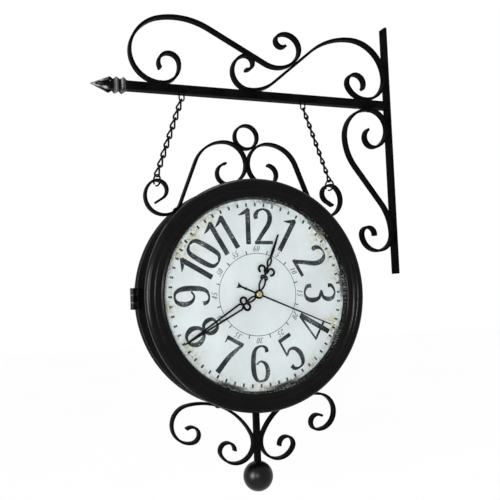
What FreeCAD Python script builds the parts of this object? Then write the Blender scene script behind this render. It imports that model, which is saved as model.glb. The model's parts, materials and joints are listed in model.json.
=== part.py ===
"""Double-sided wall clock hanging by two chains from a scrolled iron bracket.

Frame, in millimetres: the origin is on the wall, midway between the two wall screws. +X points into the
wall, the arm reaches along -X, the front dial faces -Y, the rear dial faces +Y, and +Z is up.
"""
import FreeCAD, Part
import math
import os
from FreeCAD import Vector

os.makedirs("parts", exist_ok=True)

# Wall bar and arm
BAR_WIDTH = 12.0
BAR_THICK = 3.0
WALL_HOLE_SPACING = 275.0
WALL_HOLE_R = 2.2
BAR_TOP_MARGIN = 5.5
BAR_BOTTOM_MARGIN = 9.5
ARM_SIDE = 9.0
ARM_WALL = 1.2
ARM_HEIGHT = 50.0
ARM_REACH = 308.0

# Spear finial on the arm's free end: half widths of its square sections
COLLAR_HALF = 6.8
NECK_HALF = 4.9
SPEAR_HALF = 6.7
SPEAR_TIP_HALF = 0.4
COLLAR_PITCH = 7.0
SPEAR_LENGTH = 18.5
SPEAR_NOTCH = 1.7
FINIAL_SPIGOT = 12.0
SPIGOT_CLEAR = 0.1

# Strip iron: bracket scrolls, and the lighter scrolls on the clock
STRIP_WIDTH = 8.0
STRIP_THICK = 3.0
TRIM_THICK = 2.5
WELD_GAP = 0.05

# Crest scroll, in the corner above the arm: centreline radii and angles
CREST_SHOULDER_R = 42.5
CREST_KNEE_R = 26.5
CREST_CROWN_R = 80.0
CREST_HEEL_R = 44.0
CREST_SLOPE = 40.0
CREST_NEAR_EYE_R = 24.5
CREST_NEAR_EYE_TURN = 60.0
CREST_NEAR_CURL_R = 10.8
CREST_NEAR_CURL_TURN = 245.0
CREST_FAR_EYE_TURN = 163.0
CREST_FAR_CURL_TURN = 205.0
CREST_EYE_RATIO = 2.4

# Brace scroll, in the corner below the arm
BRACE_SHOULDER_R = 33.5
BRACE_KNEE_R = 22.0
BRACE_CROWN_R = 56.0
BRACE_HEEL_R = 58.0
BRACE_SLOPE = 37.5
BRACE_NEAR_EYE_R = 23.0
BRACE_NEAR_EYE_TURN = 67.0
BRACE_NEAR_CURL_R = 11.2
BRACE_NEAR_CURL_TURN = 170.0
BRACE_FAR_EYE_R = 19.7
BRACE_FAR_EYE_TURN = 176.0
BRACE_FAR_CURL_R = 8.3
BRACE_FAR_CURL_TURN = 195.0

# Long scroll: leans on the crest scroll's slope and stands on the arm
LONG_TOUCH = 34.5
LONG_DIP_R = 30.5
LONG_CLIMB = 27.0
LONG_BROW_R = 77.0
LONG_BROW_TURN = 42.0
LONG_CROWN_R = 42.0
LONG_CROWN_TURN = 57.0
LONG_CHEEK_R = 32.0
LONG_EYE_R = 20.0
LONG_EYE_TURN = 100.0
LONG_CURL_R = 11.0
LONG_CURL_TURN = 205.0
LONG_BACK_TURN = 17.0
LONG_TAIL_R = 16.5
LONG_TAIL_TURN = 154.0
LONG_TAIL_CURL_R = 7.0
LONG_TAIL_CURL_TURN = 190.0

# Clock case
DRUM_R = 118.5
WALL_ROOM = 62.5
HANG_DROP = 97.5
SHEET = 1.2
SEAM_GAP = 0.15
JOGGLE_LENGTH = 5.0
JOGGLE_CLEAR = 0.05

# Bezel section: centreline bends of the spun sheet, from the seam to the lip
SKIRT = 3.0
FLARE_R = 2.0
FLARE_TURN = 40.0
ROLL_R = 4.4
ROLL_TURN = 170.0
VALLEY_R = 1.0
VALLEY_TURN = 80.0
BEAD_R = 1.5
BEAD_TURN = 85.0
COVE_R = 5.2
COVE_TURN = 75.0
LIP_R = 0.9

# Glass, inner ring and dial
GLASS_THICK = 1.5
GLASS_SEAT = 3.4
GLASS_CLEAR = 0.1
DIAL_THICK = 0.8
DIAL_MARGIN = 6.5
RING_SLOPE = 1.8

# Quartz movement and its train
MOVEMENT_SIDE = 56.0
MOVEMENT_DEPTH = 15.4
MOVEMENT_CORNER = 5.0
WASHER_THICK = 0.5
WASHER_R = 9.0
BUSH_R = 3.2
BUSH_BORE_R = 2.3
NUT_R = 4.4
NUT_HEIGHT = 1.2
RUN_CLEAR = 0.05
TUBE_WALL = 0.8
SECOND_PIN_R = 0.55
CELL_R = 7.1
CELL_LENGTH = 49.5
CELL_NUB_R = 2.7
CELL_NUB = 1.0
CELL_CLEAR = 0.3
CELL_DROP = 17.0
KNOB_R = 4.5
KNOB_HEIGHT = 1.8
KNOB_SHAFT_R = 1.0
KNOB_SHAFT_LENGTH = 4.0
KNOB_OFFSET = 11.0
KNOB_ROOM = 0.4

# Hands
HAND_THICK = 0.4
HAND_STEP = 0.9
HUB_R = 4.6
HOUR_MARGIN = 31.8
MINUTE_MARGIN = 4.8
SECOND_MARGIN = 10.8
SECOND_TAIL = 26.0
HAND_RIB = 1.45
CURL_RIB = 2.0
CAP_R = 2.9
CAP_HEIGHT = 0.6
CAP_ROUND = 0.45
CAP_CLEAR = 0.38
HOUR_ANGLE = 21.5
MINUTE_ANGLE = 239.5
SECOND_ANGLE = 113.0

# Hanger on top of the case
HANGER_HUMP_R = 23.5
HANGER_HIP_R = 35.0
HANGER_HIP_TURN = 68.5
HANGER_EYE_R = 21.6
HANGER_EYE_CURL_R = 11.0
HANGER_EYE_CURL_TURN = 175.0
HANGER_CURL_R = 19.0
HANGER_CURL_TURN = 204.0
HANGER_HOOK_R = 10.0
HANGER_HOOK_TURN = 192.0
HANGER_TIP = 9.0
HANGER_RING_R = 14.0

# Underneath: stem, lower scrolls and ball
STEM_SIDE = 6.0
STEM_LENGTH = 54.0
STUD_R = 1.5
STUD_LENGTH = 4.0
LOWER_NECK_R = 20.5
LOWER_NECK_TURN = 26.0
LOWER_WING_R = 64.0
LOWER_WING_TURN = 74.0
LOWER_CURL_R = 19.0
LOWER_CURL_TURN = 175.0
LOWER_TIP_R = 8.0
LOWER_TIP_TURN = 215.0
LOWER_EYE_R = 19.0
LOWER_EYE_TURN = 152.0
LOWER_EYE_CURL_R = 8.0
LOWER_EYE_CURL_TURN = 215.0
BALL_R = 15.5
SOCKET_R = 2.0
SOCKET_DEPTH = 8.0
SOCKET_CLEAR = 0.5

# Chains
EYE_SPREAD = 70.0
EYE_DROP = 7.0
EYE_BEND_R = 2.6
WIRE_R = 0.8
LINK_COUNT = 8
LINK_END_R = 1.95
LINK_CLEAR = 0.1
LINK_TWIST = 90.0
HOOK_CLEAR = 0.3
HOOK_SWIVEL = 22.0
HOOK_WIRE_R = 0.9
HOOK_OPENING = 35.0

# Rivets
RIVET_R = 1.2
RIVET_HEAD_R = 2.2
RIVET_HEAD = 1.0
RIVET_ROUND = 0.8
RIVET_SEAT = 0.15
RIVET_CLEAR = 0.05
RIVET_TAIL = 1.0

# Door hinge and catch
KNUCKLE_R = 3.0
HINGE_PIN_R = 1.2
HINGE_CLEAR = 0.05
HINGE_HEIGHT = 22.0
HINGE_MIDDLE = 8.0
HINGE_GAP = 0.25
HINGE_PIN_END = 0.6
LEAF_REACH = 8.0
LEAF_THICK = 0.8
CATCH_WIDTH = 10.0
CATCH_LENGTH = 12.0
CATCH_GAP = 0.1

# Places that follow from the sizes above
BAR_TOP = WALL_HOLE_SPACING / 2 + BAR_TOP_MARGIN
BAR_BOTTOM = -WALL_HOLE_SPACING / 2 - BAR_BOTTOM_MARGIN
BAR_FACE = -BAR_THICK
ARM_TOP = ARM_HEIGHT + ARM_SIDE / 2
ARM_BOTTOM = ARM_HEIGHT - ARM_SIDE / 2
CLOCK = Vector(-DRUM_R - WALL_ROOM, 0, ARM_HEIGHT - HANG_DROP - DRUM_R)
X_AXIS = Vector(1, 0, 0)
Y_AXIS = Vector(0, 1, 0)
Z_AXIS = Vector(0, 0, 1)


def box(low, high):
    """Box between two opposite corners."""
    size = high - low
    return Part.makeBox(size.x, size.y, size.z, low)


def cylinder(radius, start, end):
    axis = end - start
    return Part.makeCylinder(radius, axis.Length, start, axis)


def tube(outer, inner, start, end):
    return cylinder(outer, start, end).cut(cylinder(inner, start, end))


def save(node, *solids):
    """Write one node; identical pieces of one node stay separate solids."""
    shape = solids[0] if len(solids) == 1 else Part.makeCompound(list(solids))
    shape.exportStep("parts/" + node + ".step")


# Strip work. A branch is a chain of straights and tangent bends in a plane (u, v). A bend is
# (radius, turn in degrees), positive to the left, and a straight is (length,).

def trace(start, heading, bends):
    """Follow the bends; give the pieces, the end point and the end heading."""
    u, v = start
    angle = math.radians(heading)
    pieces = []
    for bend in bends:
        if len(bend) == 1:
            pieces.append(("line", u, v, angle, bend[0]))
            u += bend[0] * math.cos(angle)
            v += bend[0] * math.sin(angle)
            continue
        radius, turn = bend
        side = math.copysign(radius, turn)
        centre_u = u - side * math.sin(angle)
        centre_v = v + side * math.cos(angle)
        pieces.append(("arc", centre_u, centre_v, angle, side, math.radians(turn)))
        angle += math.radians(turn)
        u = centre_u + side * math.sin(angle)
        v = centre_v - side * math.cos(angle)
    return pieces, (u, v), math.degrees(angle)


def offset_edge(piece, shift, place):
    """One edge of the strip, shifted to the left of the centreline."""
    if piece[0] == "line":
        _, u, v, angle, length = piece
        du, dv = -shift * math.sin(angle), shift * math.cos(angle)
        end_u, end_v = u + length * math.cos(angle), v + length * math.sin(angle)
        return Part.makeLine(place(u + du, v + dv), place(end_u + du, end_v + dv))
    _, centre_u, centre_v, angle, side, turn = piece
    radius = side - shift
    points = []
    for part in (0.0, 0.5, 1.0):
        heading = angle + turn * part
        points.append(place(centre_u + radius * math.sin(heading), centre_v - radius * math.cos(heading)))
    return Part.Arc(*points).toShape()


def strip_face(branches, thickness, place):
    """Face of a bent strip: one branch, or two that leave one point in opposite directions."""
    edges = []
    for pieces in branches:
        left = [offset_edge(piece, thickness / 2, place) for piece in pieces]
        right = [offset_edge(piece, -thickness / 2, place) for piece in pieces]
        edges += left + right
        edges.append(Part.makeLine(left[-1].lastVertex(True).Point, right[-1].lastVertex(True).Point))
    if len(branches) == 1:
        edges.append(Part.makeLine(left[0].firstVertex(True).Point, right[0].firstVertex(True).Point))
    return Part.Face(Part.Wire(Part.__sortEdges__(edges)))


def strip(branches, thickness, place, width=STRIP_WIDTH):
    """Flat bar bent edge-on to the viewer, centred on the plane Y = 0."""
    face = strip_face(branches, thickness, place)
    face.translate(Vector(0, -width / 2, 0))
    return face.extrude(Vector(0, width, 0))


def rim_edge(solid, centre):
    """The circular edge of a solid that has this centre."""
    rims = [e for e in solid.Edges if isinstance(e.Curve, Part.Circle)]
    return min(rims, key=lambda e: (e.Curve.Center - centre).Length)


def rivet(seat, inward, grip):
    """Round-head rivet: seat on the strip's face, shank pointing inward through the grip."""
    foot = seat - inward * RIVET_SEAT
    crown = foot - inward * RIVET_HEAD
    head = cylinder(RIVET_HEAD_R, foot, crown)
    head = head.makeFillet(RIVET_ROUND, [rim_edge(head, crown)])
    return head.fuse(cylinder(RIVET_R, foot, seat + inward * grip)).removeSplitter()


def rivet_hole(seat, inward, grip):
    return cylinder(RIVET_R + RIVET_CLEAR, seat - inward, seat + inward * (grip + 1))


# Wall bracket. A corner scroll is drawn in (u, v) from a square corner: it stands on the line v = 0 at a
# near and a far point and leans on the line u = 0 in between.

def corner_scroll(knee, shoulder, crown, heel, slope):
    """Bends from the near point, heading into the corner, to the far point; and the three contacts."""
    lift = STRIP_THICK / 2 + WELD_GAP
    angle = math.radians(slope)
    straight = (knee + shoulder - (crown + heel) * (1 - math.cos(angle))) / math.sin(angle)
    bends = [(knee, -90), (shoulder, -90), (crown, -slope), (straight,), (heel, slope)]
    near = (lift + knee, lift)
    _, far, _ = trace(near, 180, bends)
    return bends, near, (lift, lift + knee), far


def crest_place(u, v):
    return Vector(BAR_FACE - u, 0, ARM_TOP + v)


def brace_place(u, v):
    return Vector(BAR_FACE - v, 0, ARM_BOTTOM - u)


def standing_rivet(place, contact, grip):
    """Seat, direction and grip of a rivet where a strip stands on the line v = 0."""
    u = contact[0]
    return place(u, WELD_GAP + STRIP_THICK), place(u, -1) - place(u, 0), grip


def leaning_rivet(place, contact, grip):
    """The same, where a strip leans on the line u = 0."""
    v = contact[1]
    return place(WELD_GAP + STRIP_THICK, v), place(-1, v) - place(0, v), grip


crest_bends, crest_near, crest_lean, crest_far = corner_scroll(
    CREST_KNEE_R, CREST_SHOULDER_R, CREST_CROWN_R, CREST_HEEL_R, CREST_SLOPE)
brace_bends, brace_near, brace_lean, brace_far = corner_scroll(
    BRACE_KNEE_R, BRACE_SHOULDER_R, BRACE_CROWN_R, BRACE_HEEL_R, BRACE_SLOPE)

# The long scroll touches the crest's slope, dips, climbs away and loops down to its foot on the arm.
_, slope_end, _ = trace(crest_near, 180, crest_bends[:-1])
slope = math.radians(CREST_SLOPE)
touch_gap = STRIP_THICK + WELD_GAP
long_touch = (slope_end[0] - LONG_TOUCH * math.cos(slope) + touch_gap * math.sin(slope),
              slope_end[1] + LONG_TOUCH * math.sin(slope) + touch_gap * math.cos(slope))
long_dip = [(LONG_DIP_R, CREST_SLOPE + LONG_CLIMB)]
cheek_turn = 180 + LONG_CLIMB - LONG_BROW_TURN - LONG_CROWN_TURN
long_loop = [(LONG_BROW_R, -LONG_BROW_TURN), (LONG_CROWN_R, -LONG_CROWN_TURN), (LONG_CHEEK_R, -cheek_turn)]
_, loose_foot, _ = trace(long_touch, -CREST_SLOPE, long_dip + long_loop)
long_straight = (STRIP_THICK / 2 + WELD_GAP - loose_foot[1]) / math.sin(math.radians(LONG_CLIMB))
long_run = long_dip + [(long_straight,)] + long_loop
_, long_foot, _ = trace(long_touch, -CREST_SLOPE, long_run)
long_eye = [(LONG_EYE_R, -LONG_EYE_TURN), (LONG_CURL_R, -LONG_CURL_TURN)]
long_tail = [(LONG_DIP_R, -LONG_BACK_TURN), (LONG_TAIL_R, -LONG_TAIL_TURN),
             (LONG_TAIL_CURL_R, -LONG_TAIL_CURL_TURN)]

# The crest's far eye fills the room under that climbing straight, and touches it.
_, climb_start, climb_heading = trace(long_touch, -CREST_SLOPE, long_dip)
climb = math.radians(climb_heading)
above = (-math.sin(climb), math.cos(climb))
unit_eye, _, _ = trace((0, 0), 0, [(CREST_EYE_RATIO, CREST_FAR_EYE_TURN), (1, CREST_FAR_CURL_TURN)])
curl_reach = unit_eye[1][1] * above[0] + unit_eye[1][2] * above[1]
room = (climb_start[0] - crest_far[0]) * above[0] + (climb_start[1] - crest_far[1]) * above[1]
crest_curl_r = (room - touch_gap) / (1 + curl_reach)
crest_far_eye = [(crest_curl_r * CREST_EYE_RATIO, CREST_FAR_EYE_TURN), (crest_curl_r, CREST_FAR_CURL_TURN)]
crest_near_eye = [(CREST_NEAR_EYE_R, CREST_NEAR_EYE_TURN), (CREST_NEAR_CURL_R, CREST_NEAR_CURL_TURN)]
brace_near_eye = [(BRACE_NEAR_EYE_R, BRACE_NEAR_EYE_TURN), (BRACE_NEAR_CURL_R, BRACE_NEAR_CURL_TURN)]
brace_far_eye = [(BRACE_FAR_EYE_R, BRACE_FAR_EYE_TURN), (BRACE_FAR_CURL_R, BRACE_FAR_CURL_TURN)]

crest_scroll = strip([trace(crest_near, 180, crest_bends + crest_far_eye)[0],
                      trace(crest_near, 0, crest_near_eye)[0]], STRIP_THICK, crest_place)
brace_scroll = strip([trace(brace_near, 180, brace_bends + brace_far_eye)[0],
                      trace(brace_near, 0, brace_near_eye)[0]], STRIP_THICK, brace_place)
long_scroll = strip([trace(long_touch, -CREST_SLOPE, long_run + long_eye)[0],
                     trace(long_touch, 180 - CREST_SLOPE, long_tail)[0]], STRIP_THICK, crest_place)

arm_grip = STRIP_THICK + WELD_GAP + ARM_WALL + RIVET_TAIL
bar_grip = STRIP_THICK + WELD_GAP + BAR_THICK - RIVET_CLEAR
arm_contacts = (crest_near, crest_far, long_foot)
arm_rivets = [standing_rivet(crest_place, contact, arm_grip) for contact in arm_contacts]
arm_rivets.append(leaning_rivet(brace_place, brace_lean, arm_grip))
bar_rivets = [standing_rivet(brace_place, contact, bar_grip) for contact in (brace_near, brace_far)]
bar_rivets.append(leaning_rivet(crest_place, crest_lean, bar_grip))
bracket_holes = Part.makeCompound([rivet_hole(*r) for r in arm_rivets + bar_rivets])

wall_bar = box(Vector(BAR_FACE, -BAR_WIDTH / 2, BAR_BOTTOM), Vector(0, BAR_WIDTH / 2, BAR_TOP))
for height in (WALL_HOLE_SPACING / 2, -WALL_HOLE_SPACING / 2):
    wall_bar = wall_bar.cut(cylinder(WALL_HOLE_R, Vector(BAR_FACE - 1, 0, height), Vector(1, 0, height)))

half = ARM_SIDE / 2
bore = half - ARM_WALL
arm_bar = box(Vector(-ARM_REACH, -half, ARM_BOTTOM), Vector(BAR_FACE, half, ARM_TOP))
arm_bar = arm_bar.cut(box(Vector(-ARM_REACH - 1, -bore, ARM_BOTTOM + ARM_WALL),
                          Vector(BAR_FACE + 1, bore, ARM_TOP - ARM_WALL)))

save("crest_scroll", crest_scroll.cut(bracket_holes))
save("brace_scroll", brace_scroll.cut(bracket_holes))
save("long_scroll", long_scroll.cut(bracket_holes))
save("wall_bar", wall_bar.cut(bracket_holes))
save("scroll_rivets", *[rivet(*r) for r in arm_rivets + bar_rivets])


# Spear finial: square sections lofted outward from the arm's end, with a notch in each face of the spear.

def square(reach, half_width):
    x = -ARM_REACH - reach
    corners = [(-1, -1), (1, -1), (1, 1), (-1, 1), (-1, -1)]
    return Part.makePolygon([Vector(x, a * half_width, ARM_HEIGHT + b * half_width) for a, b in corners])


first_collar = COLLAR_PITCH * 0.65
sections = [(0, half), (COLLAR_PITCH * 0.2, NECK_HALF)]
for collar in (first_collar, first_collar + COLLAR_PITCH):
    sections += [(collar, COLLAR_HALF), (collar + COLLAR_PITCH * 0.15, COLLAR_HALF)]
    sections.append((collar + COLLAR_PITCH * 0.5, NECK_HALF))
spear_base = first_collar + COLLAR_PITCH * 2
sections += [(spear_base, SPEAR_HALF), (spear_base + SPEAR_LENGTH, SPEAR_TIP_HALF)]
finial = Part.makeLoft([square(*s) for s in sections], True, True)
notch_floor = NECK_HALF - SPEAR_NOTCH
notch_low = -ARM_REACH - spear_base + COLLAR_PITCH * 0.3
notch_tip = -ARM_REACH - spear_base - SPEAR_LENGTH * 0.5
notch = Part.Face(Part.makePolygon([Vector(notch_low, notch_floor, ARM_HEIGHT - NECK_HALF * 0.8),
                                    Vector(notch_low, notch_floor, ARM_HEIGHT + NECK_HALF * 0.8),
                                    Vector(notch_tip, notch_floor, ARM_HEIGHT),
                                    Vector(notch_low, notch_floor, ARM_HEIGHT - NECK_HALF * 0.8)]))
notch = notch.extrude(Vector(0, SPEAR_HALF, 0))
for turn in (0, 90, 180, 270):
    cutter = notch.copy()
    cutter.rotate(Vector(0, 0, ARM_HEIGHT), X_AXIS, turn)
    finial = finial.cut(cutter)
spigot = bore - SPIGOT_CLEAR
finial = finial.fuse(box(Vector(-ARM_REACH, -spigot, ARM_HEIGHT - spigot),
                         Vector(-ARM_REACH + FINIAL_SPIGOT, spigot, ARM_HEIGHT + spigot)))
save("spear_finial", finial)


# Clock trim: strips on the drum in (u, v), u outward from the clock's middle line and v up.

def left_place(u, v):
    return Vector(CLOCK.x - u, 0, CLOCK.z + v)


def right_place(u, v):
    return Vector(CLOCK.x + u, 0, CLOCK.z + v)


def drum_contact(centre_u, centre_v):
    """Seat and direction of a rivet where a bend with this centre touches the drum."""
    length = math.hypot(centre_u, centre_v)
    seat = DRUM_R + WELD_GAP + TRIM_THICK
    return seat * centre_u / length, seat * centre_v / length


trim_lift = TRIM_THICK / 2 + WELD_GAP

# Hanger: the two strips touch back to back, their inner eyes and outer curls rest on the drum.
hanger_u = trim_lift
eye_u = hanger_u + HANGER_EYE_R
hanger_v = math.sqrt((DRUM_R + trim_lift + HANGER_EYE_R) ** 2 - eye_u ** 2)
hanger_top = [(HANGER_HUMP_R, -90), (HANGER_HIP_R, -HANGER_HIP_TURN)]
_, hip_end, hip_heading = trace((hanger_u, hanger_v), 90, hanger_top)
hip = math.radians(hip_heading)
curl_u = hip_end[0] - HANGER_CURL_R * math.sin(hip)
curl_v = hip_end[1] + HANGER_CURL_R * math.cos(hip)
toward = curl_u * math.cos(hip) + curl_v * math.sin(hip)
curl_reach = DRUM_R + trim_lift + HANGER_CURL_R
hanger_straight = -toward - math.sqrt(toward ** 2 - curl_u ** 2 - curl_v ** 2 + curl_reach ** 2)
hanger_curl = [(HANGER_CURL_R, HANGER_CURL_TURN), (HANGER_HOOK_R, HANGER_HOOK_TURN), (HANGER_TIP,)]
hanger_up = trace((hanger_u, hanger_v), 90, hanger_top + [(hanger_straight,)] + hanger_curl)[0]
hanger_eye = trace((hanger_u, hanger_v), -90,
                   [(HANGER_EYE_R, 90), (HANGER_EYE_CURL_R, HANGER_EYE_CURL_TURN)])[0]
curl_bend, hook_bend = hanger_up[-3:-1]
hook_u = hook_bend[1]
hook_v = hook_bend[2] + HANGER_HOOK_R
ring_v = hanger_v + math.sqrt((HANGER_HUMP_R + trim_lift + HANGER_RING_R) ** 2
                              - (hanger_u + HANGER_HUMP_R) ** 2)

# Lower scrolls: each leans on the stem and its wing touches the drum.
lower_u = STEM_SIDE / 2 + trim_lift
neck = (LOWER_NECK_R, -LOWER_NECK_TURN)
wing = (LOWER_WING_R, -LOWER_WING_TURN)
loose_wing = trace((lower_u, 0), 90, [neck, wing])[0][1]
wing_v = -math.sqrt((DRUM_R + trim_lift + LOWER_WING_R) ** 2 - loose_wing[1] ** 2)
lower_v = wing_v - loose_wing[2]
lower_curl = [(LOWER_CURL_R, -LOWER_CURL_TURN), (LOWER_TIP_R, -LOWER_TIP_TURN)]
lower_up = trace((lower_u, lower_v), 90, [neck, wing] + lower_curl)[0]
lower_eye = trace((lower_u, lower_v), -90,
                  [(LOWER_EYE_R, LOWER_EYE_TURN), (LOWER_EYE_CURL_R, LOWER_EYE_CURL_TURN)])[0]

trim_contacts = [drum_contact(eye_u, hanger_v), drum_contact(*curl_bend[1:3]),
                 drum_contact(*lower_up[1][1:3])]
trim_grip = TRIM_THICK + WELD_GAP + SHEET + RIVET_TAIL
trim_rivets = []
for place in (left_place, right_place):
    for u, v in trim_contacts:
        seat = place(u, v)
        inward = (CLOCK - seat).normalize()
        trim_rivets.append((seat, inward, trim_grip))
trim_holes = Part.makeCompound([rivet_hole(*r) for r in trim_rivets])

for name, place in (("left", left_place), ("right", right_place)):
    save(name + "_hanger_scroll", strip([hanger_up, hanger_eye], TRIM_THICK, place).cut(trim_holes))
    save(name + "_lower_scroll", strip([lower_up, lower_eye], TRIM_THICK, place).cut(trim_holes))
save("case_rivets", *[rivet(*r) for r in trim_rivets])

ring_centre = CLOCK + Vector(0, 0, ring_v)
half_width = Vector(0, STRIP_WIDTH / 2, 0)
save("hanger_ring", tube(HANGER_RING_R, HANGER_RING_R - TRIM_THICK,
                         ring_centre - half_width, ring_centre + half_width))

stem_top = CLOCK.z - DRUM_R - 2 * WELD_GAP
stem_foot = stem_top - STEM_LENGTH
stem = box(Vector(CLOCK.x - STEM_SIDE / 2, -STEM_SIDE / 2, stem_foot),
           Vector(CLOCK.x + STEM_SIDE / 2, STEM_SIDE / 2, stem_top))
stem_head = Vector(CLOCK.x, 0, stem_top)
stem_end = Vector(CLOCK.x, 0, stem_foot)
stem = stem.fuse(cylinder(STUD_R, stem_head, stem_head + Z_AXIS * STUD_LENGTH))
stem = stem.fuse(cylinder(SOCKET_R, stem_end - Z_AXIS * SOCKET_DEPTH, stem_end))
save("bottom_stem", stem)

flat = math.sqrt(BALL_R ** 2 - STEM_SIDE ** 2 / 2)
ball_centre = stem_end - Z_AXIS * (WELD_GAP + flat)
ball = Part.makeSphere(BALL_R, ball_centre)
ball = ball.cut(box(ball_centre + Vector(-BALL_R, -BALL_R, flat),
                    ball_centre + Vector(BALL_R, BALL_R, BALL_R)))
socket_floor = ball_centre + Z_AXIS * (flat - SOCKET_DEPTH - SOCKET_CLEAR)
ball = ball.cut(cylinder(SOCKET_R + RIVET_CLEAR, socket_floor, ball_centre + Z_AXIS * BALL_R))
save("ball_finial", ball)


# Chains: an eye under the arm, plain oval links, and an open ring round each hanger's outer curl.

def wire_bend(centre, start, axis, wire, angle):
    """Round wire bent about an axis through the centre, from a start point on the bend."""
    radius = start - centre
    profile = Part.Face(Part.Wire(Part.makeCircle(wire, start, axis.cross(radius))))
    return profile.revolve(centre, axis, angle)


def chain_link(half_straight):
    """Oval link along Z, twisted so that its two ends stand square to each other."""
    twist = math.radians(LINK_TWIST / 2) / (half_straight + LINK_END_R)
    arch = [(LINK_END_R * math.cos(math.radians(a)), half_straight + LINK_END_R * math.sin(math.radians(a)))
            for a in range(0, 181, 45)]
    points = [Vector(LINK_END_R, 0, 0)]
    points += [Vector(x * math.cos(z * twist), x * math.sin(z * twist), z) for x, z in arch]
    points.append(Vector(-LINK_END_R, 0, 0))
    rise = Vector(0, LINK_END_R * twist, 1)
    fall = Vector(0, LINK_END_R * twist, -1)
    curve = Part.BSplineCurve()
    curve.interpolate(points, InitialTangent=rise, FinalTangent=fall)
    profile = Part.Wire(Part.makeCircle(WIRE_R, points[0], rise))
    upper = Part.Wire(curve.toShape()).makePipeShell([profile], True, False)
    lower = upper.copy()
    lower.rotate(Vector(0, 0, 0), X_AXIS, 180)
    return upper.fuse(lower)


def turned(axis, sideways):
    """Rotation that takes Z to the axis and X to the sideways direction."""
    third = axis.cross(sideways)
    return FreeCAD.Rotation(sideways, third, axis, "ZXY")


swivel = math.radians(HOOK_SWIVEL)
hook_inner = math.hypot(STRIP_WIDTH / 2 / math.cos(swivel), TRIM_THICK / 2) + HOOK_CLEAR
hook_r = hook_inner + HOOK_WIRE_R
eyes = []
eye_holes = []
for name, side in (("left", -1), ("right", 1)):
    bend = Vector(CLOCK.x + side * EYE_SPREAD, 0, ARM_BOTTOM - EYE_DROP + EYE_BEND_R)
    legs = (Vector(EYE_BEND_R, 0, 0), Vector(-EYE_BEND_R, 0, 0))
    staple = wire_bend(bend, bend + legs[0], Y_AXIS, WIRE_R, 180)
    for leg in legs:
        foot = bend + leg
        tip = Vector(foot.x, 0, ARM_BOTTOM + ARM_WALL)
        staple = staple.fuse(cylinder(WIRE_R, foot, tip))
        eye_holes.append(cylinder(WIRE_R + WELD_GAP, foot, tip + Z_AXIS))
    eyes.append(staple.removeSplitter())

    # The chain hangs straight from the eye's bend to the ring's top; each link's upper end faces the eye.
    hook = Vector(CLOCK.x + side * hook_u, 0, CLOCK.z + hook_v)
    hook_top = hook + Vector(0, 0, hook_r)
    along = (hook_top - bend).normalize()
    eye = bend + along * EYE_BEND_R
    run = (hook_top - eye).Length
    pitch = (run + WIRE_R + HOOK_WIRE_R + LINK_CLEAR) / LINK_COUNT
    half_straight = (pitch + 2 * WIRE_R + LINK_CLEAR) / 2 - LINK_END_R
    first = half_straight + LINK_END_R - 2 * WIRE_R - LINK_CLEAR
    link = chain_link(half_straight)
    sideways = FreeCAD.Rotation(along, LINK_TWIST / 2).multVec(Y_AXIS)
    links = []
    for number in range(LINK_COUNT):
        copy = link.copy()
        copy.Placement = FreeCAD.Placement(eye + along * (first + number * pitch), turned(along, sideways))
        links.append(copy)
    print(name, "eye pivot", eye, "ring pivot", hook)
    save(name + "_chain_links", *links)

    opening = math.radians(HOOK_OPENING)
    start = hook + Vector(0, hook_r * math.cos(opening), -hook_r * math.sin(opening))
    ring = wire_bend(hook, start, X_AXIS, HOOK_WIRE_R, 360 - HOOK_OPENING)
    ring.rotate(hook, Z_AXIS, HOOK_SWIVEL)
    save(name + "_hook_ring", ring)

save("arm_eyes", *eyes)
save("arm_bar", arm_bar.cut(bracket_holes).cut(Part.makeCompound(eye_holes)))


# Depths from the clock's middle plane toward the front: movement, dial, hands and glass. The bezel's lip
# holds the glass, and its skirt gives the seam where the drum ends.

def bezel_place(r, depth):
    return CLOCK + Vector(r, -depth, 0)


dial_depth = KNOB_ROOM + KNOB_HEIGHT + CELL_CLEAR + MOVEMENT_DEPTH + WASHER_THICK + DIAL_THICK
housing_front = dial_depth - DIAL_THICK - WASHER_THICK
housing_back = housing_front - MOVEMENT_DEPTH
nut_top = dial_depth + NUT_HEIGHT
bush_top = nut_top + RUN_CLEAR
hour_back = bush_top + HAND_THICK / 2
minute_back = hour_back + HAND_STEP
second_back = minute_back + HAND_STEP
cap_foot = second_back + HAND_THICK
glass_back = cap_foot + CAP_HEIGHT + CAP_CLEAR
glass_front = glass_back + GLASS_THICK

lip_turn = 180 + FLARE_TURN - ROLL_TURN + VALLEY_TURN - BEAD_TURN + COVE_TURN
bezel_bends = [(SKIRT,), (FLARE_R, -FLARE_TURN), (ROLL_R, ROLL_TURN), (VALLEY_R, -VALLEY_TURN),
               (BEAD_R, BEAD_TURN), (COVE_R, -COVE_TURN), (LIP_R, lip_turn)]
skirt_r = DRUM_R - SHEET / 2
loose_bezel, loose_lip, _ = trace((skirt_r, 0), 90, bezel_bends)
cove_rise = loose_bezel[-2][2] - COVE_R - SHEET / 2
bezel_start = glass_front + GLASS_CLEAR - min(loose_lip[1], cove_rise)
bezel_run, _, _ = trace((skirt_r, bezel_start), 90, bezel_bends)
seam = bezel_start - SEAM_GAP
lip_r = bezel_run[-1][1] - LIP_R - SHEET / 2
glass_r = lip_r + GLASS_SEAT
ring_foot_r = lip_r - RING_SLOPE
dial_r = DRUM_R - DIAL_MARGIN
hour_length = ring_foot_r - HOUR_MARGIN
minute_length = ring_foot_r - MINUTE_MARGIN
second_length = ring_foot_r - SECOND_MARGIN
bore_floor = housing_front - 4 * TUBE_WALL
hour_tube_r = BUSH_BORE_R - RUN_CLEAR
minute_arbor_r = hour_tube_r - TUBE_WALL - RUN_CLEAR
knob_place = Vector(KNOB_OFFSET, 0, KNOB_OFFSET)


# Case: the drum, open at both ends; its front end is joggled to slip inside the front bezel's skirt.

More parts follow.
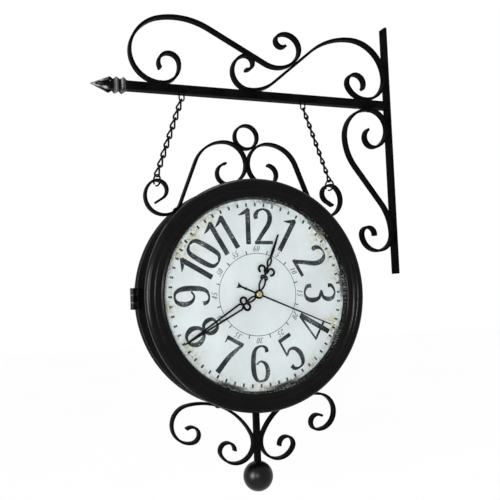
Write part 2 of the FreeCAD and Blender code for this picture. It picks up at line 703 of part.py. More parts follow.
def turned_ring(points):
    """Ring about the clock's axis from (radius, depth) points; depth counts toward the front."""
    corners = [CLOCK + Vector(r, -d, 0) for r, d in points]
    face = Part.Face(Part.makePolygon(corners + corners[:1]))
    return face.revolve(CLOCK, Y_AXIS, 360)


inner_r = DRUM_R - SHEET
joggle_r = inner_r - JOGGLE_CLEAR
joggle_end = seam + JOGGLE_LENGTH
drum = turned_ring([(DRUM_R, -seam), (DRUM_R, seam), (joggle_r, seam), (joggle_r, joggle_end),
                    (joggle_r - SHEET, joggle_end), (joggle_r - SHEET, seam - SHEET),
                    (inner_r, seam - 2 * SHEET), (inner_r, -seam)])
stud_hole = cylinder(STUD_R + RIVET_CLEAR, CLOCK - Z_AXIS * (DRUM_R + STUD_LENGTH),
                     CLOCK - Z_AXIS * (DRUM_R - STUD_LENGTH))
save("case_drum", drum.cut(trim_holes).cut(stud_hole))


# One side of the clock, drawn as the front; the rear is the same turned half round.

def at_depth(depth):
    return CLOCK + Vector(0, -depth, 0)


def make_bezel():
    return strip_face([bezel_run], SHEET, bezel_place).revolve(CLOCK, Y_AXIS, 360)


def make_inner_ring():
    """Sloping wall from dial to glass with a flat flange behind the bezel."""
    flange = dial_depth + SHEET
    flange_r = dial_r - SHEET
    return turned_ring([(ring_foot_r, dial_depth), (flange_r, dial_depth), (flange_r, flange),
                        (glass_r, flange), (glass_r, glass_back), (lip_r, glass_back)])


def make_dial():
    return tube(dial_r, BUSH_R + RUN_CLEAR, at_depth(dial_depth - DIAL_THICK), at_depth(dial_depth))


def make_movement():
    """Square housing with a cell bay open at the back, a threaded bush and a hole for the setting knob."""
    side = MOVEMENT_SIDE / 2
    body = box(CLOCK + Vector(-side, -housing_front, -side), CLOCK + Vector(side, -housing_back, side))
    upright = [e for e in body.Edges if abs(e.Vertexes[0].Y - e.Vertexes[1].Y) > 1]
    body = body.makeFillet(MOVEMENT_CORNER, upright)
    bay = CELL_R + CELL_CLEAR
    bay_end = CELL_LENGTH / 2 + CELL_CLEAR
    body = body.cut(box(CLOCK + Vector(-bay_end, -housing_back - 2 * bay, -CELL_DROP - bay),
                        CLOCK + Vector(bay_end, -housing_back + 1, -CELL_DROP + bay)))
    body = body.fuse(cylinder(BUSH_R, at_depth(housing_front), at_depth(bush_top)))
    body = body.cut(cylinder(BUSH_BORE_R, at_depth(bore_floor), at_depth(bush_top + 1)))
    knob_foot = at_depth(housing_back) + knob_place
    knob_bore = knob_foot - Y_AXIS * (KNOB_SHAFT_LENGTH + CELL_CLEAR)
    return body.cut(cylinder(KNOB_SHAFT_R + RUN_CLEAR, knob_bore, knob_foot + Y_AXIS))


def make_cell():
    middle = at_depth(housing_back + CELL_R + CELL_CLEAR) - Z_AXIS * CELL_DROP
    reach = X_AXIS * (CELL_LENGTH / 2)
    can = cylinder(CELL_R, middle - reach, middle + reach - X_AXIS * CELL_NUB)
    return can.fuse(cylinder(CELL_NUB_R, middle, middle + reach))


def make_knob():
    foot = at_depth(housing_back - CELL_CLEAR) + knob_place
    knob = cylinder(KNOB_R, foot, foot + Y_AXIS * KNOB_HEIGHT)
    return knob.fuse(cylinder(KNOB_SHAFT_R, foot - Y_AXIS * KNOB_SHAFT_LENGTH, foot))


def hand_plate(strips, polygons, hub, bore_hole, back):
    """Flat hand from (bent strip, width) pairs, straight-sided pieces and a hub, with v along the hand."""
    def place(u, v):
        return CLOCK + Vector(u, -back, v)
    faces = [strip_face([pieces], rib, place) for pieces, rib in strips]
    for points in polygons:
        corners = [place(u, v) for u, v in points]
        faces.append(Part.Face(Part.makePolygon(corners + corners[:1])))
    forward = Vector(0, -HAND_THICK, 0)
    solids = [face.extrude(forward) for face in faces]
    plate = cylinder(hub, at_depth(back), at_depth(back + HAND_THICK)).multiFuse(solids).removeSplitter()
    return plate.cut(cylinder(bore_hole, at_depth(back - 1), at_depth(back + HAND_THICK + 1)))


def mirrored(start, heading, bends, rib=HAND_RIB):
    """A strip and its mirror image about the hand's middle line, with their width."""
    flipped = [(b[0], -b[1]) if len(b) == 2 else b for b in bends]
    other = (-start[0], start[1])
    return [(trace(start, heading, bends)[0], rib), (trace(other, 180 - heading, flipped)[0], rib)]


def loop_radius(low, high, spread):
    return (high - low) / 2 / math.sin(math.radians(spread))


def make_hour_hand():
    """Open leaf, a knot of curls, a small loop and a slim blade."""
    knot, ring_low, ring_high = hour_length * 0.29, hour_length * 0.46, hour_length * 0.61
    low = HUB_R - HAND_RIB / 2
    leaf = loop_radius(low, knot, 40)
    strips = mirrored((0, low), 50, [(leaf, 80), (2.0, 190)])
    strips += mirrored((0, knot + 3.5), 50, [(2.2,), (2.5, 40), (3.4, -265)], CURL_RIB)
    strips += mirrored((0, ring_low), 48, [(loop_radius(ring_low, ring_high, 42), 84)])
    strips.append((trace((0, knot - 1), 90, [(ring_low - knot + 2,)])[0], CURL_RIB))
    blade = [(-0.9, ring_high - 1), (-1.4, ring_high + 7), (-0.7, hour_length - 1), (0, hour_length),
             (0.7, hour_length - 1), (1.4, ring_high + 7), (0.9, ring_high - 1)]
    return hand_plate(strips, [blade], HUB_R, hour_tube_r, hour_back)


def make_minute_hand():
    """Open leaf, a pair of curls and two long ribs that close to a point."""
    knot, fork = minute_length * 0.165, minute_length * 0.22
    low = HUB_R - HAND_RIB / 2
    spread = 3.0
    strips = mirrored((0, low), 55, [(loop_radius(low, knot, 35), 70)])
    strips.append((trace((0, knot - 1), 90, [(fork - knot + 1.5,)])[0], CURL_RIB))
    strips += mirrored((0, fork), 8, [(3.4,), (3.2, -250)], CURL_RIB)
    shoulder = fork + spread
    strips += mirrored((0, fork), 45, [(spread * math.sqrt(2),)])
    reach = minute_length - 2 - shoulder
    inward = math.degrees(math.atan2(spread, reach))
    strips += mirrored((spread, shoulder - 0.4), 90 + inward, [(math.hypot(spread, reach),)])
    tip = [(-0.9, minute_length - 5), (0, minute_length), (0.9, minute_length - 5)]
    return hand_plate(strips, [tip], HUB_R, minute_arbor_r, minute_back)


def make_second_hand():
    """Needle with an arrow tail."""
    needle = [(-0.8, -SECOND_TAIL + 1), (0.8, -SECOND_TAIL + 1),
              (0.4, second_length), (-0.4, second_length)]
    arrow = [(0, -SECOND_TAIL + 6), (3.0, -SECOND_TAIL), (0, -SECOND_TAIL + 1.5), (-3.0, -SECOND_TAIL)]
    swell = [(0, -SECOND_TAIL + 13), (1.4, -SECOND_TAIL + 10),
             (0, -SECOND_TAIL + 7), (-1.4, -SECOND_TAIL + 10)]
    return hand_plate([], [needle, arrow, swell], CAP_R + 0.4, SECOND_PIN_R, second_back)


def make_side():
    """Every node of one side, by the name it has after front_ or rear_."""
    cap = cylinder(CAP_R, at_depth(cap_foot), at_depth(cap_foot + CAP_HEIGHT))
    cap = cap.makeFillet(CAP_ROUND, [rim_edge(cap, at_depth(cap_foot + CAP_HEIGHT))])
    pin = cylinder(SECOND_PIN_R, at_depth(bore_floor + RUN_CLEAR), at_depth(cap_foot))
    bush_hole = BUSH_R + RUN_CLEAR
    side = {
        "bezel": make_bezel(),
        "glass": cylinder(glass_r, at_depth(glass_back), at_depth(glass_front)),
        "inner_ring": make_inner_ring(),
        "dial": make_dial(),
        "dial_washer": tube(WASHER_R, bush_hole,
                            at_depth(housing_front), at_depth(housing_front + WASHER_THICK)),
        "bush_nut": tube(NUT_R, bush_hole, at_depth(dial_depth), at_depth(nut_top)),
        "movement": make_movement(),
        "battery_cell": make_cell(),
        "setting_knob": make_knob(),
        "hour_tube": tube(hour_tube_r, minute_arbor_r + RUN_CLEAR,
                          at_depth(bore_floor + 3 * RUN_CLEAR), at_depth(hour_back + HAND_THICK)),
        "minute_arbor": tube(minute_arbor_r, SECOND_PIN_R + RUN_CLEAR,
                             at_depth(bore_floor + 2 * RUN_CLEAR), at_depth(minute_back + HAND_THICK)),
        "second_pin": cap.fuse(pin),
    }
    for name, hand, angle in (("hour_hand", make_hour_hand(), HOUR_ANGLE),
                              ("minute_hand", make_minute_hand(), MINUTE_ANGLE),
                              ("second_hand", make_second_hand(), SECOND_ANGLE)):
        hand.rotate(CLOCK, Y_AXIS, angle)
        side[name] = hand
    return side


for name, shape in make_side().items():
    save("front_" + name, shape)
    rear = shape.copy()
    rear.rotate(CLOCK, Z_AXIS, 180)
    save("rear_" + name, rear)


# Door hinge at the left of the rear seam, and the spring catch opposite.

seam_y = seam + SEAM_GAP / 2
hinge_axis = CLOCK + Vector(-DRUM_R - LEAF_THICK - HINGE_GAP - KNUCKLE_R, seam_y, 0)
half_height = HINGE_HEIGHT / 2
half_middle = HINGE_MIDDLE / 2


def hinge_leaf(spans, low_y, high_y, hole_r):
    """Curved leaf on the drum's side from low_y to high_y, with knuckles over the given height spans."""
    low = CLOCK + Vector(0, low_y, 0)
    high = CLOCK + Vector(0, high_y, 0)
    leaf = tube(DRUM_R + LEAF_THICK, DRUM_R + WELD_GAP, low, high)
    leaf = leaf.common(box(Vector(CLOCK.x - DRUM_R - 2, low.y, CLOCK.z - half_height),
                           Vector(CLOCK.x, high.y, CLOCK.z + half_height)))
    near_y, far_y = sorted((hinge_axis.y, low_y if high_y < hinge_axis.y else high_y))
    for start, end in spans:
        bottom, top = hinge_axis + Z_AXIS * start, hinge_axis + Z_AXIS * end
        web_low = Vector(hinge_axis.x, max(near_y, hinge_axis.y - KNUCKLE_R), bottom.z)
        web_high = Vector(CLOCK.x - DRUM_R - LEAF_THICK / 2, min(far_y, hinge_axis.y + KNUCKLE_R), top.z)
        leaf = leaf.fuse(cylinder(KNUCKLE_R, bottom, top)).fuse(box(web_low, web_high))
    hole = cylinder(hole_r, hinge_axis - Z_AXIS * HINGE_HEIGHT, hinge_axis + Z_AXIS * HINGE_HEIGHT)
    return leaf.cut(hole).removeSplitter()


case_spans = [(half_middle, half_height), (-half_height, -half_middle)]
door_spans = [(-half_middle + HINGE_GAP, half_middle - HINGE_GAP)]
skirt_end = seam + SKIRT
case_leaf = hinge_leaf(case_spans, seam - LEAF_REACH, seam - SEAM_GAP, HINGE_PIN_R + WELD_GAP / 2)
door_leaf = hinge_leaf(door_spans, seam + 2 * SEAM_GAP, skirt_end, HINGE_PIN_R + HINGE_CLEAR)
save("hinge_case_leaf", case_leaf)
save("hinge_door_leaf", door_leaf)
pin_end = Z_AXIS * (half_height + HINGE_PIN_END)
save("hinge_pin", cylinder(HINGE_PIN_R, hinge_axis - pin_end, hinge_axis + pin_end))

catch_outer = math.sqrt(inner_r ** 2 - (CATCH_WIDTH / 2) ** 2) - CATCH_GAP
save("door_catch", box(CLOCK + Vector(catch_outer - SHEET, skirt_end - CATCH_LENGTH, -CATCH_WIDTH / 2),
                       CLOCK + Vector(catch_outer, skirt_end, CATCH_WIDTH / 2)))

print("hinge pivot", hinge_axis, "hand axis", CLOCK, "knob pivot", CLOCK + knob_place)
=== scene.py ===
"""Looks of a double-sided wall clock that hangs by two chains from a scrolled iron bracket."""
import json
import math

import bmesh
import bpy
from mathutils import Matrix, Vector

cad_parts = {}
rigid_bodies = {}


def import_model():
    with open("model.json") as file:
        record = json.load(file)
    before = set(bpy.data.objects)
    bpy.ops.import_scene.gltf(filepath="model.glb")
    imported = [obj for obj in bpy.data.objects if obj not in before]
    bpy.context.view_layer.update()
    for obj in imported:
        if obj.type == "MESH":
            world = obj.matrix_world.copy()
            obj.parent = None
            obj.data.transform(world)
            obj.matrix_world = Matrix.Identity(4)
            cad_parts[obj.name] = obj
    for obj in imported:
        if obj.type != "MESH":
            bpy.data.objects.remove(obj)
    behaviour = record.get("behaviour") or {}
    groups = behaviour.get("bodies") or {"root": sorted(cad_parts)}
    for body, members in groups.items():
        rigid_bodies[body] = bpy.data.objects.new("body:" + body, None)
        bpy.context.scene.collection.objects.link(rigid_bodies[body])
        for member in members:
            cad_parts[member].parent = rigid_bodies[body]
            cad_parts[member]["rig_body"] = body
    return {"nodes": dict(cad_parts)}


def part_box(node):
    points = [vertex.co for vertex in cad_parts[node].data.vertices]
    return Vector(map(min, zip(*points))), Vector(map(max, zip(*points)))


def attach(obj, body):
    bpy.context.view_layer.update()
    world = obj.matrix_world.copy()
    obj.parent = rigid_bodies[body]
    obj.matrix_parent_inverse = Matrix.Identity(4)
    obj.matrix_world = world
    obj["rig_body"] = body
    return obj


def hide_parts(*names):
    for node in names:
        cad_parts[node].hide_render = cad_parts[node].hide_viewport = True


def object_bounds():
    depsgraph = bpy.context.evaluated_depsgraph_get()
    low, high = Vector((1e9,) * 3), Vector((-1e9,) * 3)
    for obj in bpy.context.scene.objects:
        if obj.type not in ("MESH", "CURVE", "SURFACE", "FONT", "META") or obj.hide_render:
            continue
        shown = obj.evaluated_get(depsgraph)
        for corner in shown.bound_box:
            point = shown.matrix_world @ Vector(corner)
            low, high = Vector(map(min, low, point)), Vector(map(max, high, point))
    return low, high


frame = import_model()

cad_low, cad_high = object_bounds()
MM = 0.001


# Wall bar: a flat iron bar that two screws hold to the wall. Its long edges are a little rounded by
# rolling, and it has the satin black paint of all the ironwork.

BAR_EDGE = 0.5
WELD_GAP = 0.001
FLAT_TURN = math.radians(0.6)
CORNER_TURN = math.radians(28)
CORNER_STEPS = 2


def piece_from(node, edge=0.0):
    """A piece with a node's mesh, its curves smooth and its corners rounded by an edge in millimetres."""
    mesh = bpy.data.meshes.new(node + "_piece")
    work = bmesh.new()
    work.from_mesh(frame["nodes"][node].data)
    bmesh.ops.remove_doubles(work, verts=work.verts, dist=WELD_GAP * MM)
    if edge:
        bmesh.ops.dissolve_limit(work, angle_limit=FLAT_TURN, verts=work.verts, edges=work.edges)
    work.to_mesh(mesh)
    work.free()
    for name in ("custom_normal", "sharp_face", "sharp_edge"):
        if name in mesh.attributes:
            mesh.attributes.remove(mesh.attributes[name])
    mesh.shade_smooth()
    piece = bpy.data.objects.new(node + "_piece", mesh)
    bpy.context.scene.collection.objects.link(piece)
    if edge:
        bevel = piece.modifiers.new("rounded corners", "BEVEL")
        bevel.limit_method = "ANGLE"
        bevel.angle_limit = CORNER_TURN
        bevel.width = edge * MM
        bevel.segments = CORNER_STEPS
        bevel.use_clamp_overlap = True
        piece.modifiers.new("flat faces", "WEIGHTED_NORMAL")
    else:
        mesh.set_sharp_from_angle(angle=CORNER_TURN)
    return piece


def put_on(piece, body, material):
    """Give a piece its body and its material."""
    piece.data.materials.clear()
    piece.data.materials.append(material)
    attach(piece, body)


def take_place(piece, node, material):
    """Let a piece take a node's place, on the node's own body."""
    put_on(piece, frame["nodes"][node]["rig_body"], material)
    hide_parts(node)


def stand_in(node, material, edge=0.0):
    """A piece of the node's own shape, in its place."""
    take_place(piece_from(node, edge), node, material)


def add(tree, kind, **settings):
    """A shader node; settings are its properties."""
    node = tree.nodes.new("ShaderNode" + kind)
    for name, value in settings.items():
        setattr(node, name, value)
    return node


def feed(tree, socket, value):
    """Give an input a number or a linear colour, or link it to an output."""
    if isinstance(value, bpy.types.NodeSocket):
        tree.links.new(value, socket)
    elif isinstance(value, tuple):
        socket.default_value = (*value, 1.0)
    else:
        socket.default_value = value


NOISE_RANGE = (0.35, 0.65)
WIDE_RANGE = (0.3, 0.7)


def noise(tree, place, scale, detail=4.0, roughness=0.5):
    """A noise value over a place, scale in cycles per unit of the place."""
    node = add(tree, "TexNoise")
    feed(tree, node.inputs["Scale"], scale)
    node.inputs["Detail"].default_value = detail
    node.inputs["Roughness"].default_value = roughness
    tree.links.new(place, node.inputs["Vector"])
    return node.outputs["Fac"]


def span(tree, value, low, high, start=0.0, end=1.0):
    """The value mapped from low..high to start..end, smoothly and with stops at both ends."""
    node = add(tree, "MapRange", interpolation_type="SMOOTHSTEP")
    tree.links.new(value, node.inputs["Value"])
    for name, number in (("From Min", low), ("From Max", high), ("To Min", start), ("To Max", end)):
        node.inputs[name].default_value = number
    return node.outputs["Result"]


def maths(tree, operation, first, second=None):
    """One arithmetic step; each input is a socket or a number."""
    node = add(tree, "Math", operation=operation)
    feed(tree, node.inputs[0], first)
    if second is not None:
        feed(tree, node.inputs[1], second)
    return node.outputs["Value"]


def blend(tree, factor, first, second):
    """A colour between two; each is a socket or a linear colour."""
    node = add(tree, "Mix", data_type="RGBA", clamp_factor=True)
    tree.links.new(factor, node.inputs["Factor"])
    for name, value in (("A", first), ("B", second)):
        feed(tree, [s for s in node.inputs if s.name == name and s.type == "RGBA"][0], value)
    return [s for s in node.outputs if s.type == "RGBA"][0]


def bumped(tree, height, distance, strength):
    """A normal roughened by a height."""
    bump = add(tree, "Bump")
    bump.inputs["Distance"].default_value = distance
    feed(tree, bump.inputs["Strength"], strength)
    tree.links.new(height, bump.inputs["Height"])
    return bump.outputs["Normal"]


def new_group(name, inputs, outputs):
    """A shader node group with float inputs {name: default} and outputs {name: socket type}."""
    group = bpy.data.node_groups.new(name, "ShaderNodeTree")
    for title, value in inputs.items():
        socket = group.interface.new_socket(title, in_out="INPUT", socket_type="NodeSocketFloat")
        socket.default_value = value
    for title, kind in outputs.items():
        group.interface.new_socket(title, in_out="OUTPUT", socket_type=kind)
    return group, group.nodes.new("NodeGroupInput").outputs, group.nodes.new("NodeGroupOutput").inputs


CORNER_RANGE = (0.55, 0.68)
RUB_AND_HIGHLIGHT_RANGE = (0.4, 0.62)
SPECK_SHARE = 0.3
PEEL_DEPTH = 0.05


def paint_group():
    """Sprayed paint on iron: a fine orange peel, broad sheen changes and paler corners, partly rubbed wear
    and partly a painted edge highlight.
    """
    group, given, result = new_group(
        "Sprayed paint", {"Peel": 0.3, "Rub and highlight": 0.5},
        {"Sheen": "NodeSocketFloat", "Rubbed and highlight": "NodeSocketFloat", "Normal": "NodeSocketVector"})
    place = add(group, "TexCoord").outputs["Object"]
    broad = noise(group, place, scale=45, detail=3)
    fine = noise(group, place, scale=1300, detail=3, roughness=0.6)
    specks = noise(group, place, scale=420, detail=2)
    corner = add(group, "NewGeometry").outputs["Pointiness"]
    # Corners with high pointiness are made paler: this is rubbed paint and also a painted highlight along
    # the edges.
    worn = maths(group, "MULTIPLY", span(group, corner, *CORNER_RANGE), span(group, broad, *RUB_AND_HIGHLIGHT_RANGE))
    group.links.new(maths(group, "MULTIPLY", worn, given["Rub and highlight"]), result["Rubbed and highlight"])
    group.links.new(maths(group, "ADD", maths(group, "MULTIPLY", broad, 1 - SPECK_SHARE),
                          maths(group, "MULTIPLY", specks, SPECK_SHARE)), result["Sheen"])
    group.links.new(bumped(group, fine, PEEL_DEPTH * MM, given["Peel"]), result["Normal"])
    return group


def new_material(name):
    """An empty node material and its Principled shader."""
    material = bpy.data.materials.new(name)
    material.use_nodes = True
    return material, material.node_tree, material.node_tree.nodes["Principled BSDF"].inputs


sprayed = paint_group()


def black_paint(name, dark, pale, rubbed_and_highlight, smooth, rough, specular, rub_and_highlight, peel=0.3):
    """Black paint between two tones and two roughnesses, with a paler colour for its corners that is both
    rubbed wear and a painted edge highlight.
    """
    material, tree, shader = new_material(name)
    paint = add(tree, "Group", node_tree=sprayed)
    paint.inputs["Peel"].default_value = peel
    paint.inputs["Rub and highlight"].default_value = rub_and_highlight
    tone = blend(tree, span(tree, paint.outputs["Sheen"], *NOISE_RANGE), dark, pale)
    # The corners take the rubbed colour, which is both worn paint and a painted edge highlight.
    tree.links.new(blend(tree, paint.outputs["Rubbed and highlight"], tone, rubbed_and_highlight), shader["Base Color"])
    tree.links.new(span(tree, paint.outputs["Sheen"], *NOISE_RANGE, smooth, rough), shader["Roughness"])
    tree.links.new(paint.outputs["Normal"], shader["Normal"])
    shader["Specular IOR Level"].default_value = specular
    return material


black_iron = black_paint("black iron", dark=(0.002, 0.002, 0.0021), pale=(0.005, 0.005, 0.0052),
                         rubbed_and_highlight=(0.02, 0.02, 0.021), smooth=0.34, rough=0.46, specular=0.005, rub_and_highlight=0.3)
stand_in("wall_bar", black_iron, BAR_EDGE)


# Arm: square steel tube welded to the wall bar, closed at its free end by the finial's spigot. The
# tube's corners are rounder than the bar's.

TUBE_EDGE = 0.8
stand_in("arm_bar", black_iron, TUBE_EDGE)


# Scrolls of the bracket: flat strip bent the flat way, with small round-head rivets where they stand on
# the arm and the bar. The strip's corners are lightly rounded.

STRIP_EDGE = 0.5
for node in ("crest_scroll", "brace_scroll", "long_scroll"):
    stand_in(node, black_iron, STRIP_EDGE)
stand_in("scroll_rivets", black_iron)


# Spear finial: a cast square point with two collars. The black is rubbed off its high faces down to dull
# pewter-grey metal. It stays in the hollows and in the notch of each face, beside a faint pale tongue.

FINIAL_BLACK = (0.004, 0.004, 0.004)
FINIAL_DULL = (0.09, 0.09, 0.088)
FINIAL_METAL = (0.25, 0.25, 0.245)
FINIAL_EDGE = 0.35
COLLAR_HOLLOW = 5.4
COLLAR_CREST = 6.4
COLLAR_FADE = 0.5
TIP_BARE = 3.0
TIP_END = 6.0
SPEAR_BARE = 14.0
SPEAR_BLACK = 18.0
SPEAR_LENGTH = 22.0
SPEAR_LEAN = 0.33
TONGUE_START = 6.0
TONGUE_FULL = 8.0
TONGUE_FADE = 11.0
TONGUE_END = 14.0
TONGUE_HALF = 0.9
TONGUE_CORE = 0.6
TONGUE_STRENGTH = 0.35
AXIS_GUARD = 0.1
RIDGE_RANGE = (0.45, 0.7)
LEAN_RANGE = (0.06, 0.12)
STREAK_RANGE = (0.42, 0.56)
WEAR_RANGE = (0.7, 0.95)
LEAST_WEAR = 0.25
BARE_METALLIC = 0.75
FINIAL_ROUGHNESS = (0.36, 0.56)
SCUFF_DEPTH = 0.12

finial_low, finial_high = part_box("spear_finial")
finial_axis = (finial_low + finial_high) / 2
finial_axis.x = finial_low.x


def worn_casting():
    """Black casting with bare metal on its high faces, placed by millimetres from the spear's tip."""
    material, tree, shader = new_material("worn iron")
    place = add(tree, "TexCoord").outputs["Object"]
    from_axis = add(tree, "VectorMath", operation="SUBTRACT")
    from_axis.inputs[1].default_value = finial_axis
    tree.links.new(place, from_axis.inputs[0])
    parts = add(tree, "SeparateXYZ")
    tree.links.new(from_axis.outputs["Vector"], parts.inputs["Vector"])
    reach = maths(tree, "MAXIMUM", maths(tree, "ABSOLUTE", parts.outputs["Y"]),
                  maths(tree, "ABSOLUTE", parts.outputs["Z"]))
    facing = add(tree, "SeparateXYZ")
    tree.links.new(add(tree, "NewGeometry").outputs["True Normal"], facing.inputs["Vector"])
    lean = maths(tree, "ABSOLUTE", maths(tree, "ADD", facing.outputs["X"], SPEAR_LEAN))
    along = parts.outputs["X"]
    inward = maths(tree, "MINIMUM", maths(tree, "ABSOLUTE", parts.outputs["Y"]),
                   maths(tree, "ABSOLUTE", parts.outputs["Z"]))
    corner_share = maths(tree, "DIVIDE", inward, maths(tree, "ADD", reach, AXIS_GUARD * MM))
    ridge = span(tree, corner_share, *RIDGE_RANGE)
    point = span(tree, along, TIP_BARE * MM, TIP_END * MM, 1.0, 0.0)
    spear_face = maths(tree, "MULTIPLY", span(tree, lean, *LEAN_RANGE, 1.0, 0.0),
                       span(tree, along, SPEAR_BARE * MM, SPEAR_BLACK * MM, 1.0, 0.0))
    spear_face = maths(tree, "MULTIPLY", spear_face, maths(tree, "MAXIMUM", ridge, point))
    tongue = maths(tree, "MULTIPLY", span(tree, inward, TONGUE_HALF * MM, TONGUE_CORE * TONGUE_HALF * MM),
                   span(tree, along, TONGUE_START * MM, TONGUE_FULL * MM))
    tongue = maths(tree, "MULTIPLY", tongue,
                   span(tree, along, TONGUE_END * MM, TONGUE_FADE * MM, 0.0, TONGUE_STRENGTH))
    streak_place = add(tree, "CombineXYZ")
    tree.links.new(along, streak_place.inputs["X"])
    streak = noise(tree, streak_place.outputs["Vector"], scale=900, detail=2)
    collar_face = maths(tree, "MULTIPLY", span(tree, reach, COLLAR_HOLLOW * MM, COLLAR_CREST * MM),
                        span(tree, streak, *STREAK_RANGE))
    past_spear = span(tree, along, (SPEAR_LENGTH - COLLAR_FADE) * MM, (SPEAR_LENGTH + COLLAR_FADE) * MM)
    collar_face = maths(tree, "MULTIPLY", collar_face, past_spear)
    scuff = noise(tree, place, scale=500, detail=6, roughness=0.65)
    blot = noise(tree, place, scale=150, detail=3)
    high_face = maths(tree, "MAXIMUM", tongue, maths(tree, "MAXIMUM", spear_face, collar_face))
    wear = span(tree, maths(tree, "ADD", scuff, blot), *WEAR_RANGE, LEAST_WEAR, 1.0)
    bare = maths(tree, "MULTIPLY", high_face, wear)
    metal_tone = blend(tree, span(tree, blot, *NOISE_RANGE), FINIAL_DULL, FINIAL_METAL)
    tree.links.new(blend(tree, bare, FINIAL_BLACK, metal_tone), shader["Base Color"])
    tree.links.new(maths(tree, "MULTIPLY", bare, BARE_METALLIC), shader["Metallic"])
    tree.links.new(span(tree, scuff, *WIDE_RANGE, *FINIAL_ROUGHNESS), shader["Roughness"])
    tree.links.new(bumped(tree, scuff, SCUFF_DEPTH * MM, strength=0.5), shader["Normal"])
    shader["Specular IOR Level"].default_value = 0.03
    return material


worn_iron = worn_casting()
stand_in("spear_finial", worn_iron, FINIAL_EDGE)


# Chains: oval links of blackened round wire, each twisted a quarter turn. They hang from two wire eyes
# under the arm, and each chain ends in an open wire ring round the outer curl of the clock's hanger.

LINK_BREADTH = 1.25
chain_black = black_paint("blackened wire", dark=(0.0012, 0.0012, 0.0012), pale=(0.003, 0.003, 0.003),
                          rubbed_and_highlight=(0.02, 0.02, 0.02), smooth=0.24, rough=0.34, specular=0.03, rub_and_highlight=0.2,
                          peel=0.15)


def broad_links(node):
    """The links of one chain, spread sideways from the line they hang along."""
    piece = piece_from(node)
    points = [vertex.co for vertex in piece.data.vertices]
    middle = sum(points, Vector((0, 0, 0))) / len(points)
    lean = sum((p.x - middle.x) * (p.z - middle.z) for p in points)
    lean /= sum((p.z - middle.z) ** 2 for p in points)
    line = Vector((lean, 0, 1)).normalized()
    for vertex in piece.data.vertices:
        along = line * (vertex.co - middle).dot(line)
        vertex.co = middle + along + (vertex.co - middle - along) * LINK_BREADTH
    return piece


stand_in("arm_eyes", chain_black)
for side in ("left", "right"):
    node = side + "_chain_links"
    take_place(broad_links(node), node, chain_black)
    stand_in(side + "_hook_ring", chain_black)


# Hanger: two mirrored strips riveted to the top of the drum, with a short ring of the same strip
# between their humps. The scrolls under the drum are of that strip too, thinner than the bracket's.

THIN_STRIP_EDGE = 0.45
for side in ("left", "right"):
    stand_in(side + "_hanger_scroll", black_iron, THIN_STRIP_EDGE)
    stand_in(side + "_lower_scroll", black_iron, THIN_STRIP_EDGE)
stand_in("hanger_ring", black_iron, THIN_STRIP_EDGE)
stand_in("case_rivets", black_iron)


# Drum, hinge and catch: a drum of rolled sheet in dull black. The hinge leaves are bent sheet round a
# steel pin, in smoother paint, and the catch is a plain spring strip inside the rear rim.

LEAF_EDGE = 0.2
PIN_EDGE = 0.15
CATCH_EDGE = 0.1
case_black = black_paint("case black", dark=(0.0012, 0.0012, 0.0013), pale=(0.003, 0.003, 0.0031),
                         rubbed_and_highlight=(0.02, 0.02, 0.02), smooth=0.4, rough=0.5, specular=0.0006, rub_and_highlight=0.25,
                         peel=0.12)
hinge_black = black_paint("hinge black", dark=(0.0012, 0.0012, 0.0013), pale=(0.003, 0.003, 0.0031),
                          rubbed_and_highlight=(0.02, 0.02, 0.02), smooth=0.26, rough=0.34, specular=0.06, rub_and_highlight=0.4,
                          peel=0.1)
stand_in("case_drum", case_black)
for node in ("hinge_case_leaf", "hinge_door_leaf"):
    stand_in(node, hinge_black, LEAF_EDGE)


MARK_DEPTH = 0.02
TARNISH_SHARE = 0.15


def metal_group():
    """Bare metal: fine turning or drawing marks and slight tarnish."""
    group, given, result = new_group(
        "Drawn metal", {"Scale": 2500.0},
        {"Marks": "NodeSocketFloat", "Tarnish": "NodeSocketFloat", "Normal": "NodeSocketVector"})
    place = add(group, "TexCoord").outputs["Object"]
    marks = noise(group, place, given["Scale"], detail=5, roughness=0.6)
    group.links.new(marks, result["Marks"])
    broad_scale = maths(group, "MULTIPLY", given["Scale"], TARNISH_SHARE)
    group.links.new(noise(group, place, broad_scale, detail=3), result["Tarnish"])
    group.links.new(bumped(group, marks, MARK_DEPTH * MM, strength=0.4), result["Normal"])
    return group


drawn = metal_group()


def bare_metal(name, dark, pale, smooth, rough, scale):
    """Bare metal between two tones and two roughnesses."""
    material, tree, shader = new_material(name)
    metal = add(tree, "Group", node_tree=drawn)
    metal.inputs["Scale"].default_value = scale
    tone = blend(tree, span(tree, metal.outputs["Tarnish"], *NOISE_RANGE), dark, pale)
    tree.links.new(tone, shader["Base Color"])
    tree.links.new(span(tree, metal.outputs["Marks"], *WIDE_RANGE, smooth, rough), shader["Roughness"])
    tree.links.new(metal.outputs["Normal"], shader["Normal"])
    shader["Metallic"].default_value = 1.0
    return material


plain_steel = bare_metal("plain steel", dark=(0.3, 0.3, 0.31), pale=(0.48, 0.48, 0.49),
                         smooth=0.25, rough=0.45, scale=2500)
stand_in("hinge_pin", plain_steel, PIN_EDGE)
stand_in("door_catch", plain_steel, CATCH_EDGE)


# Under the drum: a square stem with a stud that goes into it, and a turned iron ball on the stem's end.
# The paint on the ball is smooth enough to show a soft highlight.

STEM_EDGE = 0.5
ball_black = black_paint("ball black", dark=(0.0012, 0.0012, 0.0013), pale=(0.003, 0.003, 0.0031),
                         rubbed_and_highlight=(0.02, 0.02, 0.02), smooth=0.3, rough=0.33, specular=0.16, rub_and_highlight=0.2,
                         peel=0.04)
stand_in("bottom_stem", black_iron, STEM_EDGE)
stand_in("ball_finial", ball_black)


# Bezels: spun sheet with an outer roll, a fine bead and a cove, in smooth black. The front one is fixed
# to the drum, the rear one is the door.

